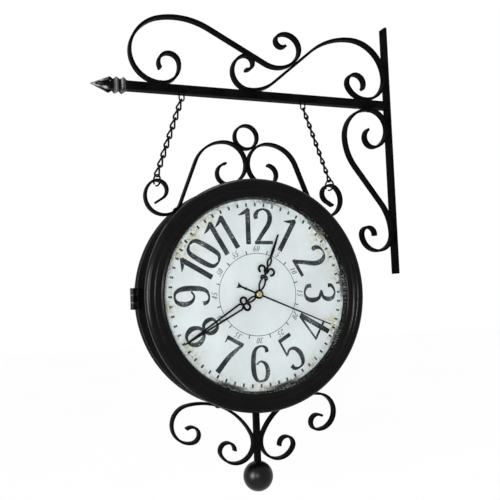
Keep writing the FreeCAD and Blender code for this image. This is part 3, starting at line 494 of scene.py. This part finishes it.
SIDES = ("front", "rear")
bezel_black = black_paint("bezel black", dark=(0.001, 0.001, 0.0011), pale=(0.0025, 0.0025, 0.0026),
                          rubbed_and_highlight=(0.02, 0.02, 0.021), smooth=0.22, rough=0.28, specular=0.085, rub_and_highlight=0.15,
                          peel=0.03)
for side in SIDES:
    stand_in(side + "_bezel", bezel_black)


# Dials: printed card, pale blue-grey with a brown back, aged with yellow-green and brown stains that
# creep in from the rim. The stains are placed in degrees clockwise from 12 and millimetres.

PAPER = (0.70, 0.755, 0.77)
PAPER_SHADE = (0.62, 0.67, 0.68)
STAIN_PALE = (0.52, 0.51, 0.29)
STAIN_DARK = (0.075, 0.082, 0.026)
RIM_DIRT = (0.26, 0.27, 0.22)
RIM_WORN = (0.025, 0.03, 0.027)
BACK_PALE = (0.20, 0.125, 0.07)
BACK_DARK = (0.12, 0.072, 0.04)
BACK_START = 0.3
BACK_END = 0.1
DIRT_START_R = 88.0
DIRT_FULL_R = 99.0
WEAR_START_R = 92.5
WEAR_FULL_R = 97.0
PATCH_CORE = 0.1
FIBRE_SHARE = 0.3
TONE_RANGE = (0.6, 1.0)
HALO_RANGE = (0.44, 0.6)
HALO_STRENGTH = 0.8
DIRT_RANGE = (0.45, 0.65)
DIRT_STRENGTH = 0.6
MOSS_LIFT = 0.12
MOSS_RANGE = (0.63, 0.7)
MOSS_PLACES = (0.1, 0.5)
MOSS_STRENGTH = 0.9
FLAKE_LIFT = 0.3
FLAKE_RANGE = (0.64, 0.7)
BACK_RANGE = (0.8, 1.2)
CARD_ROUGHNESS = (0.62, 0.78)
FIBRE_DEPTH = 0.02
STAINS = [(301, 97, 26, 1.0), (312, 96, 20, 1.0), (325, 97, 20, 0.9), (52, 94, 26, 0.8), (66, 97, 22, 0.8),
          (80, 97, 20, 0.7), (113, 95, 24, 0.9), (140, 97, 20, 0.6), (178, 98, 26, 0.6), (205, 98, 22, 0.6),
          (236, 94, 26, 0.9), (266, 97, 20, 0.7)]
WORN_RIM = [(10, 99, 36, 0.8), (45, 99, 34, 0.9), (85, 99, 36, 0.9), (118, 99, 30, 0.8), (165, 99, 38, 1.0),
            (200, 99, 36, 1.0), (285, 99, 24, 0.5), (335, 99, 28, 0.6)]

dial_low, dial_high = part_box("front_dial")
rear_low, rear_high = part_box("rear_dial")
clock_x = (dial_low.x + dial_high.x) / 2
clock_z = (dial_low.z + dial_high.z) / 2
dial_depth = {"front": -dial_low.y, "rear": rear_high.y}
turn = {"front": 1.0, "rear": -1.0}


def dial_place(side, u, v, depth):
    """A point in metres: u to that side's right, v up, and depth toward its viewer."""
    return Vector((clock_x + turn[side] * u, -turn[side] * depth, clock_z + v))


def dial_millimetres(tree, side):
    """Millimetres from the clock's middle as that side's viewer sees them, with X right and Z up."""
    mapping = add(tree, "Mapping", vector_type="POINT")
    tree.links.new(add(tree, "TexCoord").outputs["Object"], mapping.inputs["Vector"])
    scale = turn[side] / MM
    mapping.inputs["Scale"].default_value = (scale, scale, 1 / MM)
    mapping.inputs["Location"].default_value = (-clock_x * scale, 0, -clock_z / MM)
    flat = add(tree, "VectorMath", operation="MULTIPLY")
    flat.inputs[1].default_value = (1, 0, 1)
    tree.links.new(mapping.outputs["Vector"], flat.inputs[0])
    return flat.outputs["Vector"]


def patches(tree, place, spots):
    """Mask of round soft patches, each (degrees clockwise from 12, radius, size, strength)."""
    mask = None
    for degrees, radius, size, strength in spots:
        angle = math.radians(degrees)
        away = add(tree, "VectorMath", operation="DISTANCE")
        away.inputs[1].default_value = (radius * math.sin(angle), 0, radius * math.cos(angle))
        tree.links.new(place, away.inputs[0])
        spot = span(tree, away.outputs["Value"], size, size * PATCH_CORE, 0.0, strength)
        mask = spot if mask is None else maths(tree, "MAXIMUM", mask, spot)
    return mask


def dial_card(side):
    """The face of one side's dial, and the bare brown back of its card."""
    material, tree, shader = new_material(side + " dial card")
    place = dial_millimetres(tree, side)
    stained = patches(tree, place, STAINS)
    cloud = noise(tree, place, scale=0.16, detail=8, roughness=0.65)
    mottle = noise(tree, place, scale=0.025, detail=5)
    fibre = noise(tree, place, scale=1.6, detail=3, roughness=0.6)
    speck = noise(tree, place, scale=0.38, detail=8, roughness=0.75)
    length = add(tree, "VectorMath", operation="LENGTH")
    tree.links.new(place, length.inputs[0])
    radius = length.outputs["Value"]
    grain = maths(tree, "ADD", fibre, cloud)
    tone = maths(tree, "ADD", mottle, maths(tree, "MULTIPLY", grain, FIBRE_SHARE))
    colour = blend(tree, span(tree, tone, *TONE_RANGE), PAPER, PAPER_SHADE)
    halo = maths(tree, "MULTIPLY", stained, span(tree, cloud, *HALO_RANGE))
    colour = blend(tree, maths(tree, "MULTIPLY", halo, HALO_STRENGTH), colour, STAIN_PALE)
    dirt = maths(tree, "MULTIPLY", span(tree, radius, DIRT_START_R, DIRT_FULL_R),
                 span(tree, cloud, *DIRT_RANGE, 0.0, DIRT_STRENGTH))
    colour = blend(tree, dirt, colour, RIM_DIRT)
    moss = maths(tree, "ADD", speck, maths(tree, "MULTIPLY", stained, MOSS_LIFT))
    deep = maths(tree, "MULTIPLY", span(tree, stained, *MOSS_PLACES), span(tree, moss, *MOSS_RANGE))
    colour = blend(tree, maths(tree, "MULTIPLY", deep, MOSS_STRENGTH), colour, STAIN_DARK)
    near_rim = maths(tree, "MULTIPLY", patches(tree, place, WORN_RIM),
                     span(tree, radius, WEAR_START_R, WEAR_FULL_R))
    flaking = maths(tree, "ADD", speck, maths(tree, "MULTIPLY", near_rim, FLAKE_LIFT))
    flakes = span(tree, flaking, *FLAKE_RANGE)
    colour = blend(tree, maths(tree, "MULTIPLY", near_rim, flakes), colour, RIM_WORN)
    depth = add(tree, "SeparateXYZ")
    tree.links.new(add(tree, "TexCoord").outputs["Object"], depth.inputs["Vector"])
    behind = span(tree, maths(tree, "ABSOLUTE", depth.outputs["Y"]),
                  dial_depth[side] - BACK_START * MM, dial_depth[side] - BACK_END * MM, 1.0, 0.0)
    back = blend(tree, span(tree, grain, *BACK_RANGE), BACK_PALE, BACK_DARK)
    tree.links.new(blend(tree, behind, colour, back), shader["Base Color"])
    tree.links.new(span(tree, fibre, *WIDE_RANGE, *CARD_ROUGHNESS), shader["Roughness"])
    tree.links.new(bumped(tree, fibre, FIBRE_DEPTH * MM, strength=0.3), shader["Normal"])
    shader["Specular IOR Level"].default_value = 0.12
    return material


for side in SIDES:
    stand_in(side + "_dial", dial_card(side))


# Print on the dials: tall condensed hour figures, minute marks at the rim, and a fine ring with small
# slanting minute figures. It is slate ink, thin and flaking, drawn as pen strokes.

INK = (0.016, 0.021, 0.023)
INK_FADED = (0.048, 0.056, 0.058)
INK_FADE_SHARE = 0.35
INK_LOSS_RANGE = (0.75, 0.83)
INK_LOSS = 0.65
INK_ROUGHNESS = (0.6, 0.8)
INK_FOOT = 0.005
INK_RISE = 0.03
INK_LAYER = 0.004
INK_LAYERS = 6
STROKE_STEPS = 6
CIRCLE_STEP = 3
HOUR_STEP = 30
MINUTE_STEP = 6
FIGURE_HEIGHT = 38.0
FIGURE_SPREAD = 1.3
FIGURE_WEIGHT = 1.08
FIGURE_R = 71.0
FIGURE_STEP = 17.0
ONE_STEP = 13.5
INWARD_HOURS = (4, 5, 6, 7, 8)
MARK_INNER_R = 91.6
MARK_OUTER_R = 95.4
MARK_WIDTH = 2.0
TRACK_R = 42.6
TRACK_WIDTH = 0.6
SMALL_HEIGHT = 6.0
SMALL_SPREAD = 1.0
SMALL_WEIGHT = 1.05
SMALL_R = 47.4
SMALL_STEP = 3.7
SMALL_SLANT = 0.3
SMALL_MARK = 4.0
SMALL_MARK_WIDTH = 1.1

# Each stroke is a row of (x, y, width) in figure heights, with x from the figure's middle line.
LEFT_BOW = [(0, 0.97, 0.05), (-0.12, 0.9, 0.09), (-0.16, 0.72, 0.125), (-0.16, 0.28, 0.125),
            (-0.12, 0.1, 0.09), (0, 0.03, 0.05)]
SIX = [(0.15, 0.8, 0.11), (0.12, 0.92, 0.08), (0.02, 0.97, 0.05), (-0.1, 0.9, 0.09), (-0.155, 0.7, 0.125),
       (-0.16, 0.3, 0.13), (-0.1, 0.08, 0.09), (0, 0.03, 0.05), (0.11, 0.09, 0.09), (0.155, 0.28, 0.125),
       (0.11, 0.48, 0.09), (0.0, 0.56, 0.05), (-0.1, 0.48, 0.05)]
UPPER_BOW = [(0, 0.97, 0.05), (-0.1, 0.91, 0.08), (-0.135, 0.77, 0.115), (-0.1, 0.63, 0.09),
             (0, 0.55, 0.07)]
LOWER_BOW = [(0, 0.55, 0.07), (-0.11, 0.46, 0.09), (-0.165, 0.27, 0.13), (-0.11, 0.09, 0.09),
             (0, 0.03, 0.05)]


def flipped(stroke):
    """The stroke mirrored left to right."""
    return [(-x, y, width) for x, y, width in stroke]


FIGURES = {
    "0": [LEFT_BOW, flipped(LEFT_BOW)],
    "1": [[(0.0, 0.0, 0.13), (0.0, 0.97, 0.13)],
          [(-0.21, 0.8, 0.02), (-0.1, 0.86, 0.08), (0.03, 0.98, 0.09)]],
    "2": [[(-0.155, 0.7, 0.1), (-0.165, 0.8, 0.12), (-0.11, 0.92, 0.08), (0.01, 0.97, 0.05),
           (0.12, 0.9, 0.1), (0.16, 0.75, 0.13), (0.12, 0.55, 0.125), (-0.03, 0.28, 0.11),
           (-0.14, 0.07, 0.1)],
          [(-0.2, 0.045, 0.09), (0.21, 0.045, 0.09)]],
    "3": [[(-0.15, 0.76, 0.11), (-0.14, 0.88, 0.09), (-0.01, 0.97, 0.05), (0.11, 0.91, 0.09),
           (0.145, 0.77, 0.125), (0.1, 0.61, 0.09), (-0.05, 0.545, 0.05)],
          [(-0.05, 0.545, 0.05), (0.11, 0.47, 0.09), (0.16, 0.27, 0.13), (0.12, 0.1, 0.1), (0, 0.03, 0.05),
           (-0.13, 0.1, 0.09), (-0.155, 0.24, 0.11)]],
    "4": [[(0.07, 1.0, 0.13), (0.07, 0.0, 0.13)], [(0.04, 0.98, 0.06), (-0.2, 0.29, 0.05)],
          [(-0.23, 0.27, 0.06), (0.2, 0.27, 0.06)]],
    "5": [[(-0.14, 0.95, 0.1), (0.17, 0.95, 0.1)], [(-0.12, 0.93, 0.055), (-0.13, 0.48, 0.055)],
          [(-0.13, 0.5, 0.05), (-0.02, 0.6, 0.06), (0.1, 0.54, 0.1), (0.155, 0.33, 0.13), (0.11, 0.1, 0.1),
           (0, 0.03, 0.05), (-0.12, 0.08, 0.09), (-0.155, 0.2, 0.11)]],
    "6": [SIX],
    "7": [[(-0.2, 0.95, 0.1), (0.2, 0.95, 0.1)], [(-0.175, 0.93, 0.05), (-0.185, 0.8, 0.03)],
          [(0.165, 0.93, 0.07), (0.03, 0.5, 0.12), (-0.05, 0.0, 0.14)]],
    "8": [UPPER_BOW, flipped(UPPER_BOW), LOWER_BOW, flipped(LOWER_BOW)],
    "9": [[(-x, 1 - y, width) for x, y, width in SIX]],
}


def smooth_row(points, steps):
    """Points on a smooth line through a row of points; a row of two stays straight."""
    if len(points) == 2:
        return [Vector(p) for p in points]
    rows = [Vector(p) for p in points]
    rows = [rows[0] * 2 - rows[1]] + rows + [rows[-1] * 2 - rows[-2]]
    line = []
    for before, start, end, after in zip(rows, rows[1:], rows[2:], rows[3:]):
        for step in range(steps):
            t = step / steps
            bend = 2 * before - 5 * start + 4 * end - after
            twist = 3 * start - 3 * end + after - before
            line.append(0.5 * (2 * start + (end - before) * t + bend * t ** 2 + twist * t ** 3))
    return line + [rows[-2]]


class Print:
    """Ink on one dial: thin closed strokes in one mesh, in (u, v) millimetres on the dial."""

    def __init__(self, side):
        self.side = side
        self.points = []
        self.faces = []
        self.layer = 0

    def ribbon(self, line):
        """One closed stroke from (u, v, width) points."""
        self.layer = (self.layer + 1) % INK_LAYERS
        low = dial_depth[self.side] + INK_FOOT * MM
        high = dial_depth[self.side] + (INK_RISE + self.layer * INK_LAYER) * MM
        base = len(self.points)
        for number, point in enumerate(line):
            ahead = line[min(number + 1, len(line) - 1)] - line[max(number - 1, 0)]
            across = Vector((-ahead.y, ahead.x)).normalized() * point.z / 2
            for sign, depth in ((1, high), (-1, high), (-1, low), (1, low)):
                u, v = point.x + sign * across.x, point.y + sign * across.y
                self.points.append(dial_place(self.side, u * MM, v * MM, depth))
        for number in range(len(line) - 1):
            at = base + 4 * number
            for corner in range(4):
                after = (corner + 1) % 4
                self.faces.append((at + corner, at + after, at + 4 + after, at + 4 + corner))
        end = len(self.points)
        self.faces.append((base + 3, base + 2, base + 1, base))
        self.faces.append((end - 4, end - 3, end - 2, end - 1))

    def text(self, figures, degrees, radius, height, step, spread, weight, outward=True, slant=0.0):
        """Figures across a radius, tops outward or inward."""
        angle = math.radians(degrees)
        up = Vector((math.sin(angle), math.cos(angle))) * (1 if outward else -1)
        right = Vector((up.y, -up.x))
        middle = Vector((math.sin(angle), math.cos(angle))) * radius
        place = -step * (len(figures) - 1) / 2
        for figure in figures:
            for stroke in FIGURES[figure]:
                line = []
                for x, y, width in smooth_row(stroke, STROKE_STEPS):
                    across = place + (x * spread + slant * (y - 0.5)) * height
                    spot = middle + right * across + up * (y - 0.5) * height
                    line.append(Vector((spot.x, spot.y, width * height * weight)))
                self.ribbon(line)
            place += step

    def mark(self, degrees, inner, outer, width):
        """A straight mark between two radii."""
        angle = math.radians(degrees)
        ends = [(radius * math.sin(angle), radius * math.cos(angle), width) for radius in (inner, outer)]
        self.ribbon([Vector(end) for end in ends])

    def circle(self, radius, width):
        """A ring round the middle."""
        turns = [math.radians(degrees) for degrees in range(0, 361, CIRCLE_STEP)]
        self.ribbon([Vector((radius * math.sin(a), radius * math.cos(a), width)) for a in turns])

    def finish(self, name, material):
        """Make the strokes a piece on the dial's body."""
        mesh = bpy.data.meshes.new(name)
        mesh.from_pydata(self.points, [], self.faces)
        work = bmesh.new()
        work.from_mesh(mesh)
        bmesh.ops.recalc_face_normals(work, faces=work.faces)
        work.to_mesh(mesh)
        work.free()
        piece = bpy.data.objects.new(name, mesh)
        bpy.context.scene.collection.objects.link(piece)
        put_on(piece, frame["nodes"][self.side + "_dial"]["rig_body"], material)


def dial_ink(side):
    """Slate ink of one side, faded in places and flaked off in specks."""
    material, tree, shader = new_material(side + " dial ink")
    place = dial_millimetres(tree, side)
    flake = noise(tree, place, scale=0.55, detail=7, roughness=0.7)
    fade = noise(tree, place, scale=0.06)
    worn = maths(tree, "ADD", flake, maths(tree, "MULTIPLY", fade, INK_FADE_SHARE))
    tone = blend(tree, span(tree, fade, *NOISE_RANGE), INK, INK_FADED)
    bare = span(tree, worn, *INK_LOSS_RANGE, 0.0, INK_LOSS)
    tree.links.new(blend(tree, bare, tone, PAPER_SHADE), shader["Base Color"])
    tree.links.new(span(tree, flake, *WIDE_RANGE, *INK_ROUGHNESS), shader["Roughness"])
    shader["Specular IOR Level"].default_value = 0.06
    return material


for side in SIDES:
    ink = dial_ink(side)
    hours = Print(side)
    for hour in range(1, 13):
        hours.text(str(hour), HOUR_STEP * hour, FIGURE_R, FIGURE_HEIGHT,
                   ONE_STEP if hour == 11 else FIGURE_STEP, FIGURE_SPREAD, FIGURE_WEIGHT,
                   outward=hour not in INWARD_HOURS)
    hours.finish(side + "_hour_figures", ink)
    marks = Print(side)
    for minute in range(60):
        marks.mark(MINUTE_STEP * minute, MARK_INNER_R, MARK_OUTER_R, MARK_WIDTH)
    marks.finish(side + "_minute_marks", ink)
    track = Print(side)
    track.circle(TRACK_R, TRACK_WIDTH)
    for five in range(1, 13):
        track.text(str(5 * five), HOUR_STEP * five, SMALL_R, SMALL_HEIGHT, SMALL_STEP, SMALL_SPREAD,
                   SMALL_WEIGHT, slant=SMALL_SLANT)
        track.mark(HOUR_STEP * (five + 0.5), TRACK_R, TRACK_R + SMALL_MARK, SMALL_MARK_WIDTH)
    track.finish(side + "_minute_track", ink)


# Inner rings: sheet rings that slope from the glass to the dial and press the dial flat. Their black has
# gone grey in specks, most where the dial's rim is worn too, and is glossy enough to mirror the dial.

RING_BLACK = (0.003, 0.003, 0.003)
RING_GREY = (0.20, 0.21, 0.19)
RING_ROUGHNESS = (0.14, 0.4)
CHIP_LIFT = 0.1
CHIP_RANGE = (0.58, 0.66)


def speckled_black(side):
    """Gloss black with worn grey specks, for one side's ring."""
    material, tree, shader = new_material(side + " ring black")
    paint = add(tree, "Group", node_tree=sprayed)
    place = dial_millimetres(tree, side)
    grain = noise(tree, place, scale=0.5, detail=8, roughness=0.75)
    worn = patches(tree, place, WORN_RIM)
    chips = span(tree, maths(tree, "ADD", grain, maths(tree, "MULTIPLY", worn, CHIP_LIFT)), *CHIP_RANGE)
    tone = blend(tree, maths(tree, "MULTIPLY", chips, worn), RING_BLACK, RING_GREY)
    tree.links.new(tone, shader["Base Color"])
    tree.links.new(span(tree, chips, 0.0, 1.0, *RING_ROUGHNESS), shader["Roughness"])
    tree.links.new(paint.outputs["Normal"], shader["Normal"])
    shader["Specular IOR Level"].default_value = 0.22
    return material


for side in SIDES:
    stand_in(side + "_inner_ring", speckled_black(side))


# Hands: stamped black sheet with open curls, each pressed on its own tube, arbor or pin. Their outlines
# are drawn a little fuller than the sheet's. The second hand's pin has the brass cap in the middle.

HAND_FULLNESS = 0.18
EDGE_FACE = 0.5
NUT_EDGE = 0.15
hand_black = black_paint("hand black", dark=(0.0015, 0.0015, 0.0016), pale=(0.0035, 0.0035, 0.0036),
                         rubbed_and_highlight=(0.02, 0.02, 0.02), smooth=0.4, rough=0.5, specular=0.05, rub_and_highlight=0.1,
                         peel=0.1)
brass_trim = bare_metal("turned brass", dark=(0.36, 0.3, 0.16), pale=(0.6, 0.54, 0.36),
                        smooth=0.18, rough=0.3, scale=3000)
tube_brass = bare_metal("drawn brass", dark=(0.38, 0.24, 0.09), pale=(0.55, 0.38, 0.15),
                        smooth=0.28, rough=0.42, scale=3000)


def broadened(node, growth):
    """A flat hand with its outline moved outward, in the hand's own plane."""
    piece = piece_from(node)
    work = bmesh.new()
    work.from_mesh(piece.data)
    shift = {}
    for point in work.verts:
        out = Vector((0, 0, 0))
        for face in point.link_faces:
            if abs(face.normal.y) < EDGE_FACE:
                out += face.normal * face.calc_area()
        out.y = 0
        shift[point] = out.normalized() * growth
    for point, step in shift.items():
        point.co += step
    work.to_mesh(piece.data)
    work.free()
    return piece


for side in SIDES:
    for hand in ("hour", "minute", "second"):
        node = side + "_" + hand + "_hand"
        take_place(broadened(node, HAND_FULLNESS * MM), node, hand_black)
    stand_in(side + "_second_pin", brass_trim)
    stand_in(side + "_bush_nut", brass_trim, NUT_EDGE)
    stand_in(side + "_hour_tube", tube_brass)
    stand_in(side + "_minute_arbor", tube_brass)


# Movements: square moulded housings with a cell bay at the back, a rubber washer against the dial, a
# round setting knob and a plain steel AA cell. They show only when the rear door is open.

HOUSING_EDGE = 0.3
KNOB_EDGE = 0.2
WASHER_EDGE = 0.1
CELL_EDGE = 0.4
GRAIN_DEPTH = 0.04


def moulding_group():
    """Moulded plastic or rubber: spark-eroded grain and faint flow marks."""
    group, given, result = new_group(
        "Moulded grain", {"Scale": 2600.0},
        {"Grain": "NodeSocketFloat", "Flow": "NodeSocketFloat", "Normal": "NodeSocketVector"})
    place = add(group, "TexCoord").outputs["Object"]
    grain = noise(group, place, given["Scale"], roughness=0.6)
    group.links.new(grain, result["Grain"])
    group.links.new(noise(group, place, scale=40, detail=3), result["Flow"])
    group.links.new(bumped(group, grain, GRAIN_DEPTH * MM, strength=0.5), result["Normal"])
    return group


grained = moulding_group()


def moulded(name, dark, pale, smooth, rough, scale):
    """Plastic or rubber between two tones and two roughnesses."""
    material, tree, shader = new_material(name)
    skin = add(tree, "Group", node_tree=grained)
    skin.inputs["Scale"].default_value = scale
    tone = blend(tree, span(tree, skin.outputs["Flow"], *NOISE_RANGE), dark, pale)
    tree.links.new(tone, shader["Base Color"])
    tree.links.new(span(tree, skin.outputs["Grain"], *WIDE_RANGE, smooth, rough), shader["Roughness"])
    tree.links.new(skin.outputs["Normal"], shader["Normal"])
    shader["Specular IOR Level"].default_value = 0.4
    return material


movement_plastic = moulded("moulded plastic", dark=(0.012, 0.012, 0.013), pale=(0.02, 0.02, 0.021),
                           smooth=0.38, rough=0.55, scale=2600)
washer_rubber = moulded("rubber", dark=(0.014, 0.014, 0.014), pale=(0.022, 0.022, 0.022),
                        smooth=0.7, rough=0.85, scale=1800)
cell_can = bare_metal("cell can", dark=(0.4, 0.4, 0.4), pale=(0.56, 0.56, 0.55),
                      smooth=0.28, rough=0.42, scale=2200)
for side in SIDES:
    stand_in(side + "_movement", movement_plastic, HOUSING_EDGE)
    stand_in(side + "_setting_knob", movement_plastic, KNOB_EDGE)
    stand_in(side + "_dial_washer", washer_rubber, WASHER_EDGE)
    stand_in(side + "_battery_cell", cell_can, CELL_EDGE)


# Glasses: flat clear window glass behind each bezel's lip, with a ground edge. A faint haze varies its
# gloss, and its index is set low, so that the white surround hardly mirrors in it.

GLASS_EDGE = 0.2
GLASS_INDEX = 1.1
GLASS_TINT = (0.97, 0.99, 0.985)
GLASS_CLEAR = (1.0, 1.0, 1.0)
SMEAR_RANGE = (0.4, 0.7)
HAZE = 0.03


def window_glass():
    """Clear glass that casts no shadow and lets diffuse light straight through."""
    material, tree, shader = new_material("clear glass")
    place = add(tree, "TexCoord").outputs["Object"]
    smear = noise(tree, place, scale=30, detail=5, roughness=0.6)
    tree.links.new(span(tree, smear, *SMEAR_RANGE, 0.0, HAZE), shader["Roughness"])
    tree.links.new(blend(tree, smear, GLASS_TINT, GLASS_CLEAR), shader["Base Color"])
    shader["Transmission Weight"].default_value = 1.0
    shader["IOR"].default_value = GLASS_INDEX
    through = add(tree, "BsdfTransparent")
    choose = add(tree, "MixShader")
    path = add(tree, "LightPath")
    tree.links.new(maths(tree, "MAXIMUM", path.outputs["Is Shadow Ray"], path.outputs["Is Diffuse Ray"]),
                   choose.inputs["Fac"])
    tree.links.new(tree.nodes["Principled BSDF"].outputs["BSDF"], choose.inputs[1])
    tree.links.new(through.outputs["BSDF"], choose.inputs[2])
    tree.links.new(choose.outputs["Shader"], tree.nodes["Material Output"].inputs["Surface"])
    return material


clear_glass = window_glass()
for side in SIDES:
    stand_in(side + "_glass", clear_glass, GLASS_EDGE)


# Studio: a pale floor well below the clock, a white surround, a small key lamp at the front left, soft
# light from above, and a box lamp farther left that shows only in reflections, on bezel, ball and hinge.

FLOOR_DROP = 0.55
FLOOR_HALF = 12.0
FLOOR_GREY = (0.96, 0.96, 0.96)
FLOOR_WHITE = (0.98, 0.98, 0.98)
SURROUND = 1.0
SURROUND_LIGHT = 0.28
KEY_PLACE = Vector((-0.62, -1.13, 0.13))
KEY_POWER = 7.9
KEY_SIZE = 0.2
SHEEN_PLACE = Vector((-1.07, -0.47, 0.06))
SHEEN_POWER = 28.0
SHEEN_WIDTH = 0.45
SHEEN_HEIGHT = 0.6
OVERHEAD_STRENGTH = 2.3
OVERHEAD_SPREAD = math.radians(25)

floor_mesh = bpy.data.meshes.new("floor")
floor_z = cad_low.z - FLOOR_DROP
corners = [(-1, -1), (1, -1), (1, 1), (-1, 1)]
floor_mesh.from_pydata([(x * FLOOR_HALF, y * FLOOR_HALF, floor_z) for x, y in corners], [], [(0, 1, 2, 3)])
floor = bpy.data.objects.new("floor", floor_mesh)
bpy.context.scene.collection.objects.link(floor)
floor_paint, tree, shader = new_material("floor paint")
place = add(tree, "TexCoord").outputs["Object"]
tree.links.new(blend(tree, noise(tree, place, scale=2.0), FLOOR_GREY, FLOOR_WHITE), shader["Base Color"])
shader["Roughness"].default_value = 0.8
shader["Specular IOR Level"].default_value = 0.1
floor_mesh.materials.append(floor_paint)

world = bpy.data.worlds.new("studio")
bpy.context.scene.world = world
world.use_nodes = True
tree = world.node_tree
tree.nodes.clear()
path = add(tree, "LightPath")
seen = maths(tree, "MAXIMUM", path.outputs["Is Camera Ray"],
             maths(tree, "MAXIMUM", path.outputs["Is Glossy Ray"], path.outputs["Is Transmission Ray"]))
background = add(tree, "Background")
background.inputs["Color"].default_value = (1.0, 1.0, 1.0, 1.0)
tree.links.new(span(tree, seen, 0.0, 1.0, SURROUND_LIGHT, SURROUND), background.inputs["Strength"])
tree.links.new(background.outputs["Background"], add(tree, "OutputWorld").inputs["Surface"])

clock_middle = Vector((clock_x, 0, clock_z))


def area_lamp(name, place, target, power, width, height):
    """A rectangular lamp that faces a target."""
    data = bpy.data.lights.new(name, "AREA")
    data.energy = power
    data.shape = "RECTANGLE"
    data.size = width
    data.size_y = height
    lamp = bpy.data.objects.new(name, data)
    lamp.location = place
    lamp.rotation_euler = (target - place).to_track_quat("-Z", "Y").to_euler()
    bpy.context.scene.collection.objects.link(lamp)
    return lamp


area_lamp("key", clock_middle + KEY_PLACE, clock_middle, KEY_POWER, KEY_SIZE, KEY_SIZE)
sheen = area_lamp("sheen box", clock_middle + SHEEN_PLACE, clock_middle, SHEEN_POWER, SHEEN_WIDTH,
                  SHEEN_HEIGHT)
sheen.visible_diffuse = False
overhead = bpy.data.lights.new("overhead", "SUN")
overhead.energy = OVERHEAD_STRENGTH
overhead.angle = OVERHEAD_SPREAD
bpy.context.scene.collection.objects.link(bpy.data.objects.new("overhead", overhead))


# Camera at the photograph's angle: a little to the left of the clock, looking up and to the right.

SENSOR = 36.0
LENS = 50.25
YAW = math.radians(21.25)
PITCH = math.radians(4.43)
ROLL = math.radians(-2.15)
CAMERA_PLACE = (-0.4492, -0.6904, -0.1757)

camera_data = bpy.data.cameras.new("camera")
camera_data.sensor_width = SENSOR
camera_data.lens = LENS
camera = bpy.data.objects.new("camera", camera_data)
bpy.context.scene.collection.objects.link(camera)
level = Vector((math.cos(YAW), -math.sin(YAW), 0))
ahead = Vector((math.sin(YAW) * math.cos(PITCH), math.cos(YAW) * math.cos(PITCH), math.sin(PITCH)))
upward = level.cross(ahead)
right = level * math.cos(ROLL) + upward * math.sin(ROLL)
above = upward * math.cos(ROLL) - level * math.sin(ROLL)
camera_turn = Matrix((right, above, -ahead)).transposed().to_4x4()
camera.matrix_world = Matrix.Translation(CAMERA_PLACE) @ camera_turn
bpy.context.scene.camera = camera
bpy.context.scene.view_settings.view_transform = "Standard"
